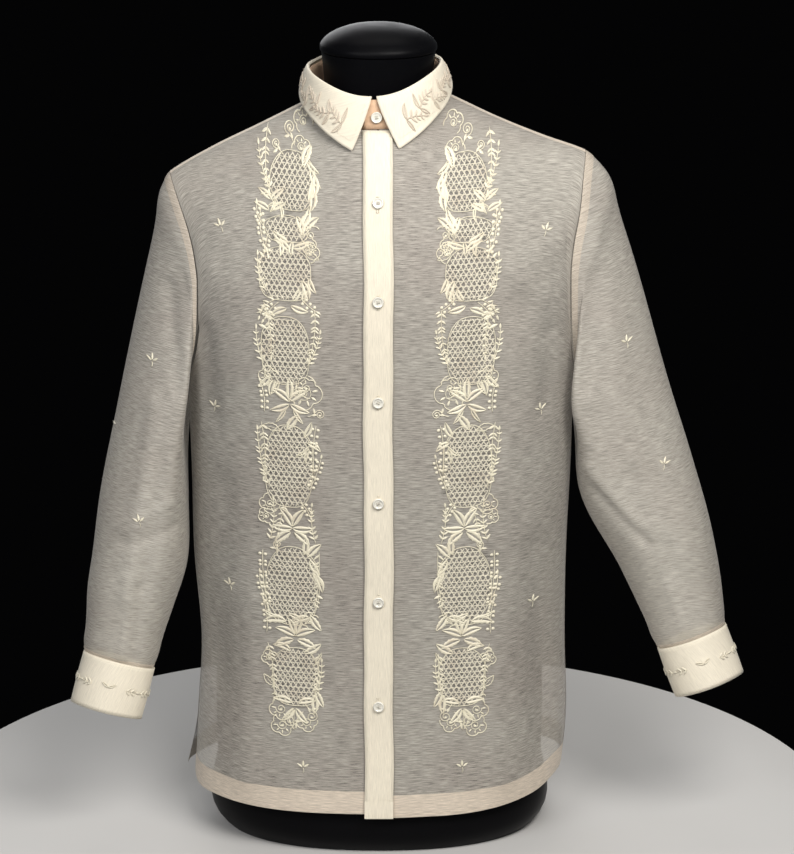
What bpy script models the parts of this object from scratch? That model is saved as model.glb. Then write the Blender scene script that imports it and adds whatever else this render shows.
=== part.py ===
"""A barong tagalog shirt worn by a limbless dress form, in metres with +Z up.

The form stands on its flat base at the origin and faces -Y, so the wearer's left is +X.
Each piece that is cut and sewn is one thin wall: two fronts, a back, two sleeves, two cuffs,
a placket, and a collar of a stand and a fall. Nine buttons close it.
"""

import math

import bmesh
import bpy
import numpy as np
from mathutils import Vector

# The cloth and its seams
WALL = 0.0012
STIFF_WALL = 0.0015
SEAM_GAP = 0.0003
JOINING_DISTANCE = 0.0001
FRONT, BACK = -1.0, 1.0
WEARER_RIGHT, WEARER_LEFT = -1.0, 1.0

# The body of the shirt
HEM_HEIGHT = 0.050
HEM_SWEEP = (
    # section angle in degrees, rise of the hem on the wearer's right, and on the wearer's left
    (0.0, 0.0020, -0.0025),
    (30.0, 0.0015, 0.0000),
    (55.0, 0.0015, 0.0075),
    (75.0, 0.0000, 0.0140),
    (90.0, 0.0030, 0.0130),
)
VENT_TOP = 0.122
VENT_SPREAD = math.radians(3.0)
VENT_FLARE = {WEARER_RIGHT: 0.0100, WEARER_LEFT: 0.0030}
UNDERARM_HEIGHT = 0.495
FRONT_EDGE = 0.0008
SEAM_SHIFT = 0.0007
SECTION_POWER = 2.4
BODY_SECTIONS = (
    # height, half width, depth in front, depth behind, shift to the wearer's left
    (0.050, 0.1965, 0.138, 0.126, -0.0020),
    (0.120, 0.1972, 0.136, 0.122, 0.0030),
    (0.200, 0.1937, 0.135, 0.118, 0.0042),
    (0.300, 0.1970, 0.137, 0.117, 0.0010),
    (0.400, 0.1995, 0.140, 0.119, 0.0022),
    (0.500, 0.2025, 0.142, 0.121, 0.0016),
    (0.600, 0.2130, 0.140, 0.122, 0.0),
    (0.700, 0.2330, 0.135, 0.120, 0.0),
    (0.800, 0.2500, 0.128, 0.116, 0.0),
)
FOLDS = (
    # side, facing, section angle and height at its middle, half sizes of both, lean, lift
    (WEARER_LEFT, FRONT, 52.0, 0.655, 10.0, 0.050, 260.0, 0.0035),
    (WEARER_LEFT, FRONT, 40.0, 0.600, 11.0, 0.060, 260.0, -0.0030),
    (WEARER_RIGHT, FRONT, 62.0, 0.640, 10.0, 0.045, -160.0, -0.0030),
    (WEARER_RIGHT, FRONT, 66.0, 0.230, 12.0, 0.160, 30.0, -0.0040),
    (WEARER_LEFT, FRONT, 64.0, 0.180, 12.0, 0.110, -40.0, -0.0050),
    (WEARER_LEFT, FRONT, 46.0, 0.300, 14.0, 0.160, 20.0, 0.0030),
    (WEARER_RIGHT, BACK, 30.0, 0.330, 12.0, 0.190, -25.0, -0.0050),
    (WEARER_LEFT, BACK, 34.0, 0.300, 13.0, 0.200, 30.0, -0.0045),
    (WEARER_RIGHT, BACK, 62.0, 0.250, 12.0, 0.170, 20.0, 0.0040),
    (WEARER_LEFT, BACK, 66.0, 0.280, 12.0, 0.160, -20.0, 0.0040),
)

# The shoulders and the neckline
NECK_HALF_WIDTH = 0.0705
NECK_DEPTH = {FRONT: 0.0760, BACK: 0.0620}
NECK_FRONT_HEIGHT = 0.768
NECK_SHIFT = -0.004
SHOULDER_LINE = (
    # distance to the wearer's left, height; the middle rows only carry the slope across the neck
    (-0.250, 0.6820),
    (-0.214, 0.7095),
    (-0.170, 0.7350),
    (-0.120, 0.7595),
    (-0.0705, 0.7845),
    (0.000, 0.8200),
    (0.0705, 0.7900),
    (0.120, 0.7665),
    (0.170, 0.7462),
    (0.214, 0.7305),
    (0.250, 0.7120),
)
SHOULDER_ROUNDING = 1.8
SHOULDER_REACH = {FRONT: 0.220, BACK: 0.100}

# The armholes
ARMHOLES = {
    # side: (half width at the notch, half width at the shoulder tip)
    WEARER_RIGHT: (0.1835, 0.2150),
    WEARER_LEFT: (0.1960, 0.2130),
}

# The sleeves, from under the armhole to the cuff
SLEEVES = {
    # height, distance out, distance forward, half width, half depth, wrap round the body
    WEARER_RIGHT: (
        (0.469, 0.2395, 0.015, 0.0325, 0.080, 0.034),
        (0.366, 0.2465, 0.030, 0.0465, 0.072, 0.014),
        (0.303, 0.2515, 0.042, 0.0498, 0.064, 0.004),
        (0.262, 0.2615, 0.052, 0.0460, 0.057, 0.0),
        (0.228, 0.2680, 0.061, 0.0410, 0.048, 0.0),
        (0.209, 0.2720, 0.066, 0.0395, 0.043, 0.0),
    ),
    WEARER_LEFT: (
        (0.466, 0.2585, 0.010, 0.0495, 0.072, 0.044),
        (0.392, 0.2690, 0.018, 0.0615, 0.065, 0.018),
        (0.307, 0.3030, 0.028, 0.0520, 0.058, 0.0),
        (0.262, 0.3175, 0.036, 0.0455, 0.050, 0.0),
        (0.242, 0.3230, 0.042, 0.0420, 0.046, 0.0),
        (0.228, 0.3268, 0.046, 0.0400, 0.042, 0.0),
    ),
}
SLEEVE_LEAVES = {WEARER_RIGHT: (0.15, -0.42), WEARER_LEFT: (0.44, -0.50)}
SLEEVE_HEAD = {WEARER_RIGHT: 0.0045, WEARER_LEFT: 0.0070}
SLEEVE_HEAD_MIDDLE = 0.16
SLEEVE_HEAD_REACH = 0.12
SLEEVE_CLEARANCE = 0.0012
UNDERARM_CLEARANCE = 0.0020
CUFFS = {
    # side: (top centre, bottom centre), each as distance out, distance forward and height
    WEARER_RIGHT: ((0.2740, 0.068, 0.1995), (0.2880, 0.081, 0.1480)),
    WEARER_LEFT: ((0.3300, 0.048, 0.2185), (0.3490, 0.058, 0.1685)),
}
CUFF_RADIUS = 0.0378
CUFF_SEAM = 0.0016
CUFF_LAP = 0.0022
CUFF_LAP_TURN = math.radians(-110.0)

# The collar
STAND_HEIGHT = {"front": 0.029, "back": 0.034}
STAND_TOP_SCALE = 0.945
STAND_FOOT = 0.0020
STAND_INSET = 0.0004
STAND_LAP = 0.0021
COLLAR_LAP = math.radians(12.0)
COLLAR_BUTTON_SHARE = 0.40
COLLAR_TILT = 0.0030
FALL_HALF_WIDTH = 0.0785
FALL_DEPTH = {FRONT: 0.0920, BACK: 0.0800}
FALL_SHIFT = -0.0028
FALL_POINT_HEIGHT = 0.744
FALL_BACK_RISE = 0.056
FALL_SIDE_RISE = 0.016
FALL_POINT_TURN = math.radians(17.5)
FALL_TOP_TURN = math.radians(2.0)
FALL_PROFILE = (
    # share of the way down, distance out from the stand, distance above its top
    (0.00, 0.0002, 0.0020),
    (0.00, 0.0020, 0.0038),
    (0.06, 0.0038, 0.0020),
    (0.34, 0.0048, 0.0000),
    (0.68, 0.0050, 0.0000),
    (1.00, 0.0000, 0.0000),
)
FALL_CLEARANCE = 0.0040

# The placket and its buttons
PLACKET_WIDTH = 0.030
PLACKET_DROP = 0.0024
PLACKET_LIFT = (WALL + STIFF_WALL) / 2 + SEAM_GAP + 0.0006
BUTTON_RADIUS = 0.0058
BUTTON_THICKNESS = 0.0026
BUTTON_GAP = 0.0004
BUTTON_HEIGHTS = (0.7010, 0.6060, 0.5020, 0.3945, 0.2870, 0.1720)
PLACKET_TOP_GAP = 0.0025

# The dress form
FORM_SECTIONS = (
    # height, half width, depth in front, depth behind
    (0.000, 0.166, 0.112, 0.100),
    (0.004, 0.170, 0.116, 0.104),
    (0.080, 0.174, 0.119, 0.108),
    (0.180, 0.174, 0.119, 0.107),
    (0.300, 0.169, 0.116, 0.100),
    (0.400, 0.172, 0.119, 0.101),
    (0.500, 0.180, 0.124, 0.104),
    (0.580, 0.182, 0.119, 0.105),
    (0.640, 0.183, 0.102, 0.098),
    (0.675, 0.183, 0.086, 0.084),
    (0.694, 0.176, 0.076, 0.072),
    (0.708, 0.162, 0.069, 0.063),
    (0.723, 0.138, 0.063, 0.056),
    (0.739, 0.109, 0.058, 0.050),
    (0.754, 0.083, 0.054, 0.046),
    (0.768, 0.065, 0.051, 0.044),
    (0.784, 0.056, 0.050, 0.044),
    (0.808, 0.056, 0.052, 0.047),
    (0.836, 0.0585, 0.055, 0.051),
)
CAP_HALF_WIDTH = 0.0600
CAP_BASE_HEIGHT = 0.8363
CAP_PROFILE = (
    # share of the half width, height above the base
    (0.94, 0.0000),
    (1.00, 0.0015),
    (1.00, 0.0050),
    (0.97, 0.0085),
    (0.88, 0.0140),
    (0.72, 0.0195),
    (0.50, 0.0240),
    (0.26, 0.0268),
)


def smooth_columns(table, at):
    """The columns after the first, read at one value of the first by a smooth curve."""
    rows = np.array(table, float)
    keys = rows[:, 0]
    order = np.argsort(keys)
    rows, keys = rows[order], keys[order]
    at = min(max(at, keys[0]), keys[-1])
    i = min(max(int(np.searchsorted(keys, at)) - 1, 0), len(keys) - 2)
    slopes = np.gradient(rows[:, 1:], keys, axis=0)
    span = keys[i + 1] - keys[i]
    u = (at - keys[i]) / span
    start, end = rows[i, 1:], rows[i + 1, 1:]
    return (
        (2 * u**3 - 3 * u**2 + 1) * start
        + (u**3 - 2 * u**2 + u) * span * slopes[i]
        + (3 * u**2 - 2 * u**3) * end
        + (u**3 - u**2) * span * slopes[i + 1]
    )


def crest_height(x):
    """How high the shoulder line runs at one distance to the wearer's left."""
    return smooth_columns(SHOULDER_LINE, x)[0]


def half_width(height):
    return smooth_columns(BODY_SECTIONS, height)[0]


def angle_at(x, height):
    """The section angle, 0 at the middle and 90 degrees at the side, of one distance out."""
    share = min(abs(x) / half_width(height), 1.0)
    return math.asin(share ** (SECTION_POWER / 2))


def fold_lift(angle, height, side, facing):
    """How far the largest soft folds lift the cloth, or sink it, at one place."""
    lift = 0.0
    for fold_side, fold_facing, middle, level, wide, tall, lean, rise in FOLDS:
        if (fold_side, fold_facing) == (side, facing):
            across = (math.degrees(angle) - middle - lean * (height - level)) / wide
            along = (height - level) / tall
            lift += rise * math.exp(-across * across - along * along)
    return lift


def section_point(angle, height, side, facing, rounding=1.0):
    """A point of the section at one height; rounding below 1 draws it in to the shoulder line."""
    width, front, back, shift = smooth_columns(BODY_SECTIONS, height)
    lift = fold_lift(angle, height, side, facing)
    depth = (front if facing == FRONT else back) + lift
    sine, cosine = math.sin(angle), max(math.cos(angle), 0.0)
    x = side * (width + lift) * sine ** (2 / SECTION_POWER) + shift * sine
    y = facing * depth * cosine ** (2 / SECTION_POWER) * rounding
    return Vector((x, y, height))


def body_point(angle, rise, side, facing):
    """A point above the underarm: rise is 0 at that height and 1 on the shoulder line."""
    height = UNDERARM_HEIGHT + rise * (crest_height(0.15 * side) - UNDERARM_HEIGHT)
    for _ in range(4):
        x = section_point(angle, height, side, facing).x
        height = UNDERARM_HEIGHT + rise * (crest_height(x) - UNDERARM_HEIGHT)
    drop = max(crest_height(x) - height, 0.0) / SHOULDER_REACH[facing]
    share = 1 - max(1 - drop, 0.0) ** SHOULDER_ROUNDING
    return section_point(angle, height, side, facing, share ** (1 / SHOULDER_ROUNDING))


def lower_point(angle, share, side, facing):
    """A point below the underarm: share is 0 on the hem and 1 at the underarm's height."""
    right, left = smooth_columns(HEM_SWEEP, math.degrees(angle))
    hem = HEM_HEIGHT + (right if side == WEARER_RIGHT else left)
    height = hem + (UNDERARM_HEIGHT - hem) * share
    point = section_point(angle, height, side, facing)
    if facing == BACK:
        loose = max(VENT_TOP - height, 0.0) / (VENT_TOP - HEM_HEIGHT)
        point.x += side * VENT_FLARE[side] * loose**1.5 * math.sin(angle) ** 10
    return point


def cloth_height(x, y):
    """The height of the shoulders' cloth over one place beside the neck."""
    facing = FRONT if y < 0 else BACK
    side = WEARER_LEFT if x >= 0 else WEARER_RIGHT
    height = crest_height(x)
    for _ in range(3):
        straight_out = section_point(angle_at(x, height), height, side, facing)
        share = min(abs(y / straight_out.y), 1.0) ** SHOULDER_ROUNDING
        drop = 1 - (1 - share) ** (1 / SHOULDER_ROUNDING)
        height = crest_height(x) - drop * SHOULDER_REACH[facing]
    return height


def neck_edge(turn, side, facing):
    """Section angle and rise on the neckline: turn is 0 at the middle, 90 degrees at the side."""
    x = side * NECK_HALF_WIDTH * math.sin(turn)
    height = cloth_height(x, facing * NECK_DEPTH[facing] * math.cos(turn))
    rise = (height - UNDERARM_HEIGHT) / (crest_height(x) - UNDERARM_HEIGHT)
    return angle_at(x, height), rise


def armhole_edge(turn, side):
    """Section angle and rise on an armhole: turn runs from -90 degrees, underarm, to 90, tip."""
    rise = (1 + math.sin(turn)) / 2
    notch, tip = ARMHOLES[side]
    height = UNDERARM_HEIGHT + rise * (crest_height(side * tip) - UNDERARM_HEIGHT)
    swing = math.sin(turn)
    if swing < 0:
        x = notch + (half_width(UNDERARM_HEIGHT) - notch) * abs(swing) ** 3
    else:
        x = notch + (tip - notch) * swing**1.3
    if turn <= -math.pi / 2 + 1e-6:
        return math.pi / 2, 0.0
    return angle_at(x, height), rise


def armhole_point(turn, side):
    """A point of the whole armhole: -90 to 90 degrees runs up its front, 90 to 270 down its back."""
    if turn <= math.pi / 2:
        return body_point(*armhole_edge(turn, side), side, FRONT)
    return body_point(*armhole_edge(math.pi - turn, side), side, BACK)


def vent_angle(height):
    """How far the side edge opens from the side seam, below the top of the vent."""
    return VENT_SPREAD * max(VENT_TOP - height, 0.0) / (VENT_TOP - HEM_HEIGHT)


def panel_rows(side, facing, lower=8, upper=8, neckline=4, across=10, first_x=0.0):
    """Rows of points of one half, from the hem up and then round the neckline to its side."""
    rows = []
    middle_start = angle_at(first_x, NECK_FRONT_HEIGHT)
    for step in range(lower):
        share = step / lower
        height = HEM_HEIGHT + (UNDERARM_HEIGHT - HEM_HEIGHT) * share
        angles = np.linspace(middle_start, math.pi / 2 - vent_angle(height), across + 1)
        rows.append([lower_point(angle, share, side, facing) for angle in angles])
    mid_rise = neck_edge(0.0, side, facing)[1]
    for step in range(upper + neckline + 1):
        share = step / (upper + neckline)
        end, end_rise = armhole_edge(math.pi * (share - 0.5), side)
        if step <= upper:
            start, start_rise = middle_start, mid_rise * step / upper
        else:
            start, start_rise = neck_edge(math.pi / 2 * (step - upper) / neckline, side, facing)
            start = max(start, middle_start)
        rows.append([
            body_point(start + (end - start) * mix, start_rise + (end_rise - start_rise) * mix,
                       side, facing)
            for mix in np.linspace(0, 1, across + 1)
        ])
    return rows


def make_material(name, colour, roughness, metallic=0.0):
    material = bpy.data.materials.new(name)
    material.use_nodes = True
    shader = material.node_tree.nodes["Principled BSDF"]
    shader.inputs["Base Color"].default_value = (*colour, 1.0)
    shader.inputs["Roughness"].default_value = roughness
    shader.inputs["Metallic"].default_value = metallic
    return material


def add_object(name, form, material):
    bmesh.ops.recalc_face_normals(form, faces=form.faces)
    mesh = bpy.data.meshes.new(name)
    form.to_mesh(mesh)
    form.free()
    mesh.shade_smooth()
    obj = bpy.data.objects.new(name, mesh)
    obj.data.materials.append(material)
    bpy.context.scene.collection.objects.link(obj)
    return obj


def sheet(name, grids, material, wall=WALL, closed=False):
    """A wall of cloth through grids of points, which join where their edges meet."""
    form = bmesh.new()
    for rows in grids:
        grid = [[form.verts.new(point) for point in row] for row in rows]
        across = len(grid[0])
        for low, high in zip(grid, grid[1:]):
            for i in range(across if closed else across - 1):
                j = (i + 1) % across
                form.faces.new((low[i], low[j], high[j], high[i]))
    bmesh.ops.remove_doubles(form, verts=form.verts, dist=JOINING_DISTANCE)
    obj = add_object(name, form, material)
    solid = obj.modifiers.new("Thickness", "SOLIDIFY")
    solid.thickness = wall
    solid.offset = 0.0
    return obj


def lathe_stack(name, rings, material):
    """A closed solid through level rings of points, flat at the bottom and the top."""
    form = bmesh.new()
    loops = [[form.verts.new(point) for point in ring] for ring in rings]
    for low, high in zip(loops, loops[1:]):
        for i in range(len(low)):
            j = (i + 1) % len(low)
            form.faces.new((low[i], low[j], high[j], high[i]))
    form.faces.new(loops[0][::-1])
    form.faces.new(loops[-1])
    return add_object(name, form, material)


def moved_out(rows, distance):
    """Rows of points moved along the sheet's own normals, away from the wearer."""
    grid = np.array([[tuple(p) for p in row] for row in rows])
    normals = np.cross(np.gradient(grid, axis=1), np.gradient(grid, axis=0))
    normals /= np.linalg.norm(normals, axis=2, keepdims=True)
    if (normals[..., 1] * grid[..., 1]).sum() < 0:
        normals = -normals
    return grid + normals * distance


def make_fronts(material):
    """Two fronts that meet under the placket and join the back at the sides and shoulders."""
    for side, name in ((WEARER_RIGHT, "front_right"), (WEARER_LEFT, "front_left")):
        rows = panel_rows(side, FRONT, first_x=FRONT_EDGE)
        sheet(name, [moved_along(rows, -SEAM_SHIFT)], material)


def make_back(material):
    """One back, from armhole to armhole, with no seam down the middle."""
    halves = [panel_rows(side, BACK) for side in (WEARER_RIGHT, WEARER_LEFT)]
    sheet("back", [moved_along(rows, SEAM_SHIFT) for rows in halves], material)


def moved_along(rows, distance):
    """Rows of points moved forward or back, to open the seam between the fronts and the back."""
    return [[point + Vector((0, distance, 0)) for point in row] for row in rows]


def sleeve_frames(side):
    """The middle, outward and forward directions and half sizes of each ring of a sleeve."""
    table = SLEEVES[side]
    middles = [Vector((side * out, -ahead, height)) for height, out, ahead, *_ in table]
    top, bottom = cuff_axis(side)
    directions = []
    for i, middle in enumerate(middles):
        before = middles[max(i - 1, 0)]
        after = middles[i + 1] if i + 1 < len(middles) else middle + (bottom - top)
        directions.append((after - before).normalized())
    frames = []
    for middle, direction, (_, _, _, *sizes) in zip(middles, directions, table):
        ahead = direction.cross(Vector((side, 0, 0))).normalized() * side
        out = ahead.cross(direction).normalized() * side
        frames.append((middle, out, ahead, *sizes))
    return frames


def ring_point(frame, turn):
    """A point of a sleeve ring whose turn matches the armhole's: 90 degrees is its outer side."""
    middle, out, ahead, wide, deep, wrap = frame
    sideways = wide * math.sin(turn) - wrap * math.cos(turn) ** 2
    return middle + out * sideways + ahead * deep * math.cos(turn)


def sleeve_rows(side, around=20, cap_rows=6, rows_between=2):
    """Rings of a sleeve, from the armhole's own edge down to the cuff."""
    turns = [math.pi * (2 * i / around - 0.5) for i in range(around)]
    frames = sleeve_frames(side)
    leave_out, leave_down = SLEEVE_LEAVES[side]
    rows = []
    for step in range(cap_rows):
        u = step / cap_rows
        row = []
        for turn in turns:
            start = armhole_point(turn, side)
            under = (1 - math.sin(turn)) / 2
            start.x += side * (SLEEVE_CLEARANCE + UNDERARM_CLEARANCE * under)
            end, beyond = ring_point(frames[0], turn), ring_point(frames[1], turn)
            reach = (end - start).length
            leaving = Vector((side * leave_out, 0, leave_down)) * reach
            arriving = (beyond - end).normalized() * reach
            fullness = math.exp(-(((u - SLEEVE_HEAD_MIDDLE) / SLEEVE_HEAD_REACH) ** 2))
            fullness *= u > 0
            row.append(
                start * (2 * u**3 - 3 * u**2 + 1)
                + leaving * (u**3 - 2 * u**2 + u)
                + end * (3 * u**2 - 2 * u**3)
                + arriving * (u**3 - u**2)
                + Vector((side * SLEEVE_HEAD[side] * fullness * (1 - under), 0, 0))
            )
        rows.append(row)
    for above, below in zip(frames, frames[1:]):
        for step in range(rows_between):
            share = step / rows_between
            row = []
            for turn in turns:
                high, low = ring_point(above, turn), ring_point(below, turn)
                row.append(high.lerp(low, share))
            rows.append(row)
    rows.append([ring_point(frames[-1], turn) for turn in turns])
    top, _, down, out, ahead = cuff_directions(side)
    rows.append([
        top - down * CUFF_SEAM + (out * math.sin(turn) + ahead * math.cos(turn)) * CUFF_RADIUS
        for turn in turns
    ])
    return rows


def make_sleeves(material):
    for side, name in ((WEARER_RIGHT, "sleeve_right"), (WEARER_LEFT, "sleeve_left")):
        sheet(name, [sleeve_rows(side)], material, closed=True)


def cuff_axis(side):
    """The middles of a cuff's top and bottom edges."""
    return [Vector((side * out, -ahead, up)) for out, ahead, up in CUFFS[side]]


def cuff_directions(side):
    top, bottom = cuff_axis(side)
    down = (bottom - top).normalized()
    ahead = down.cross(Vector((side, 0, 0))).normalized() * side
    return top, bottom, down, ahead.cross(down).normalized() * side, ahead


def cuff_rows(side, around=22, lap_steps=2):
    """A cuff's band, whose ends lap at the back of the wrist."""
    top, bottom, _, out, ahead = cuff_directions(side)
    turn_step = 2 * math.pi / around
    rows = []
    for share in np.linspace(0, 1, 3):
        row = []
        for i in range(around + lap_steps + 1):
            turn = CUFF_LAP_TURN + turn_step * (i - lap_steps / 2)
            lift = CUFF_LAP * (i / (around + lap_steps) - 0.5)
            radius = CUFF_RADIUS + lift
            middle = top.lerp(bottom, share)
            row.append(middle + (ahead * math.sin(turn) + out * math.cos(turn)) * radius)
        rows.append(row)
    return rows


def make_cuffs(material, pearl):
    for side, word in ((WEARER_RIGHT, "right"), (WEARER_LEFT, "left")):
        sheet(f"cuff_{word}", [cuff_rows(side)], material, wall=STIFF_WALL)
        top, bottom, _, out, ahead = cuff_directions(side)
        facing = ahead * math.sin(CUFF_LAP_TURN) + out * math.cos(CUFF_LAP_TURN)
        lift = CUFF_RADIUS + CUFF_LAP / 2 + STIFF_WALL / 2 + SEAM_GAP
        place = top.lerp(bottom, 0.5) + facing * lift
        make_button(f"button_cuff_{word}", place, facing, pearl)


def neck_ring_point(turn, share=0.0):
    """A point of the collar stand: turn 0 is the front, 90 degrees the wearer's left side."""
    side = WEARER_LEFT if math.sin(turn) >= 0 else WEARER_RIGHT
    facing = FRONT if math.cos(turn) >= 0 else BACK
    quarter = math.acos(min(abs(math.cos(turn)), 1.0))
    foot = body_point(*neck_edge(quarter, side, facing), side, facing)
    back_share = (1 - math.cos(turn)) / 2
    rise = STAND_HEIGHT["front"] + (STAND_HEIGHT["back"] - STAND_HEIGHT["front"]) * back_share
    scale = 1 + (STAND_TOP_SCALE - 1) * share
    height = foot.z + STAND_FOOT + rise * share
    return Vector((foot.x * scale + NECK_SHIFT * share, foot.y * scale, height))


def stand_rows(around=32):
    """The stand's band, whose front ends lap with the wearer's left one on top."""
    rows = []
    for share in (0.0, 0.5, 1.0):
        row = []
        for turn in np.linspace(-COLLAR_LAP, 2 * math.pi + COLLAR_LAP, around + 1):
            point = neck_ring_point(turn, share)
            way_round = (turn + COLLAR_LAP) / (2 * math.pi + 2 * COLLAR_LAP)
            outward = Vector((point.x, point.y, 0)).normalized()
            point += outward * (STAND_LAP * (0.5 - way_round) - STAND_INSET)
            row.append(point)
        rows.append(row)
    return rows


def fall_edge_point(turn):
    """A point of the fall's lower edge, from the collar points round to the back of the neck."""
    back_share = (1 - math.cos(turn)) / 2
    x = FALL_HALF_WIDTH * math.sin(turn) + FALL_SHIFT
    y = -FALL_DEPTH[FRONT if math.cos(turn) > 0 else BACK] * math.cos(turn)
    height = FALL_POINT_HEIGHT + FALL_BACK_RISE * back_share
    height += FALL_SIDE_RISE * abs(math.sin(turn))
    height += COLLAR_TILT * math.sin(turn)
    return Vector((x, y, max(height, cloth_height(x, y) + FALL_CLEARANCE)))


def fall_rows(around=32):
    """The fall: up from the stand's top edge, over the fold and down to the lower edge."""
    rows = []
    for share, out, up in FALL_PROFILE:
        front = FALL_TOP_TURN + (FALL_POINT_TURN - FALL_TOP_TURN) * share
        row = []
        for turn in np.linspace(front, 2 * math.pi - front, around + 1):
            top = neck_ring_point(turn, 1.0)
            outward = Vector((top.x, top.y, 0)).normalized()
            top += outward * out
            top.z += up
            row.append(top.lerp(fall_edge_point(turn), share))
        rows.append(row)
    return rows


def make_collar(stand_material, fall_material):
    sheet("collar_stand", [stand_rows()], stand_material)
    sheet("collar_fall", [fall_rows()], fall_material)


def front_middle_point(x, height):
    """A point on the fronts near the middle, where the placket lies."""
    side = WEARER_LEFT if x >= 0 else WEARER_RIGHT
    angle = angle_at(x, height)
    if height <= UNDERARM_HEIGHT:
        point = section_point(angle, height, side, FRONT)
    else:
        rise = (height - UNDERARM_HEIGHT) / (crest_height(x) - UNDERARM_HEIGHT)
        point = body_point(angle, rise, side, FRONT)
    point.y -= SEAM_SHIFT
    return point


def placket_rows(steps=22):
    """The placket: the middle of the fronts, moved out."""
    heights = np.linspace(HEM_HEIGHT - PLACKET_DROP, NECK_FRONT_HEIGHT - PLACKET_TOP_GAP, steps + 1)
    across = np.linspace(-PLACKET_WIDTH / 2, PLACKET_WIDTH / 2, 3)
    rows = [[front_middle_point(x, max(h, HEM_HEIGHT)) for x in across] for h in heights]
    for point in rows[0]:
        point.z -= PLACKET_DROP
    return moved_out(rows, PLACKET_LIFT)


def make_button(name, place, facing, material, segments=14):
    """A turned button with a raised rim round a shallow dish, its back at the place given."""
    profile = (
        # share of the radius, share of the thickness
        (0.82, 0.00),
        (1.00, 0.30),
        (1.00, 0.70),
        (0.84, 1.00),
        (0.66, 0.74),
    )
    rings = []
    for wide, high in profile:
        turns = [2 * math.pi * i / segments for i in range(segments)]
        rings.append([
            Vector((wide * BUTTON_RADIUS * math.cos(t), wide * BUTTON_RADIUS * math.sin(t),
                    high * BUTTON_THICKNESS))
            for t in turns
        ])
    button = lathe_stack(name, rings, material)
    button.rotation_euler = Vector((0, 0, 1)).rotation_difference(facing).to_euler()
    button.location = place
    return button


def forward_of(upward):
    """The direction square to a line up the front, towards the viewer."""
    return upward.cross(Vector((1, 0, 0))).normalized() * -1


def make_placket(material, pearl):
    sheet("placket", [placket_rows()], material, wall=STIFF_WALL)
    lift = PLACKET_LIFT + STIFF_WALL / 2 + BUTTON_GAP
    for number, height in enumerate(BUTTON_HEIGHTS, start=1):
        above = front_middle_point(0.0, height + BUTTON_RADIUS)
        below = front_middle_point(0.0, height - BUTTON_RADIUS)
        facing = forward_of(above - below)
        place = front_middle_point(0.0, height) + facing * lift
        make_button(f"button_{number}", place, facing, pearl)
    foot, top = neck_ring_point(0.0), neck_ring_point(0.0, 1.0)
    facing = forward_of(top - foot)
    place = foot.lerp(top, COLLAR_BUTTON_SHARE)
    place += facing * (STAND_LAP / 2 + WALL / 2 + BUTTON_GAP)
    make_button("button_collar", place, facing, pearl)


def level_ring(height, wide, front, back, around, power):
    """A level section of the dress form."""
    ring = []
    for i in range(around):
        turn = 2 * math.pi * i / around
        sine, cosine = math.sin(turn), math.cos(turn)
        x = math.copysign(wide * abs(sine) ** (2 / power), sine)
        depth = front if cosine > 0 else back
        y = -math.copysign(depth * abs(cosine) ** (2 / power), cosine)
        ring.append(Vector((x, y, height)))
    return ring


def make_form(material, around=28):
    """The dress form: a smooth limbless torso with a neck, and a domed cap on the neck."""
    heights = [row[0] for row in FORM_SECTIONS]
    levels = []
    for low, high in zip(heights, heights[1:]):
        parts = 2 if high - low > 0.07 else 1
        levels += [low + (high - low) * i / parts for i in range(parts)]
    levels.append(heights[-1])
    rings = []
    for height in levels:
        wide, front, back = smooth_columns(FORM_SECTIONS, height)
        rings.append(level_ring(height, wide, front, back, around, 2.25))
    lathe_stack("form_torso", rings, material)
    _, front, back = FORM_SECTIONS[-1][1:]
    deeper = CAP_HALF_WIDTH - FORM_SECTIONS[-1][1]
    cap = [
        level_ring(CAP_BASE_HEIGHT + up, CAP_HALF_WIDTH * s, (front + deeper) * s,
                   (back + deeper) * s, around, 2.1)
        for s, up in CAP_PROFILE
    ]
    lathe_stack("form_cap", cap, material)


def main():
    for obj in list(bpy.data.objects):
        bpy.data.objects.remove(obj, do_unlink=True)
    sheer = make_material("sheer_pina_cloth", (0.42, 0.40, 0.36), 0.75)
    opaque = make_material("cream_jusi_cloth", (0.82, 0.76, 0.62), 0.7)
    stand_cloth = make_material("peach_stand_cloth", (0.80, 0.62, 0.48), 0.7)
    pearl = make_material("pearl_button", (0.78, 0.76, 0.70), 0.25)
    black = make_material("black_form", (0.012, 0.012, 0.014), 0.3)
    make_form(black)
    make_fronts(sheer)
    make_back(sheer)
    make_sleeves(sheer)
    make_cuffs(opaque, pearl)
    make_collar(stand_cloth, opaque)
    make_placket(opaque, pearl)


main()
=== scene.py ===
"""A sheer, embroidered barong tagalog shirt worn by a limbless dress form.

The frame gives the solids, in metres with +Z up: the form stands on the origin and faces -Y,
so the wearer's left is +X. Each piece of cloth here is a thin sheet on its solid's form.
"""

import math

import bmesh
import bpy
import numpy as np
from mathutils import Matrix, Vector
from mathutils.bvhtree import BVHTree


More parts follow.
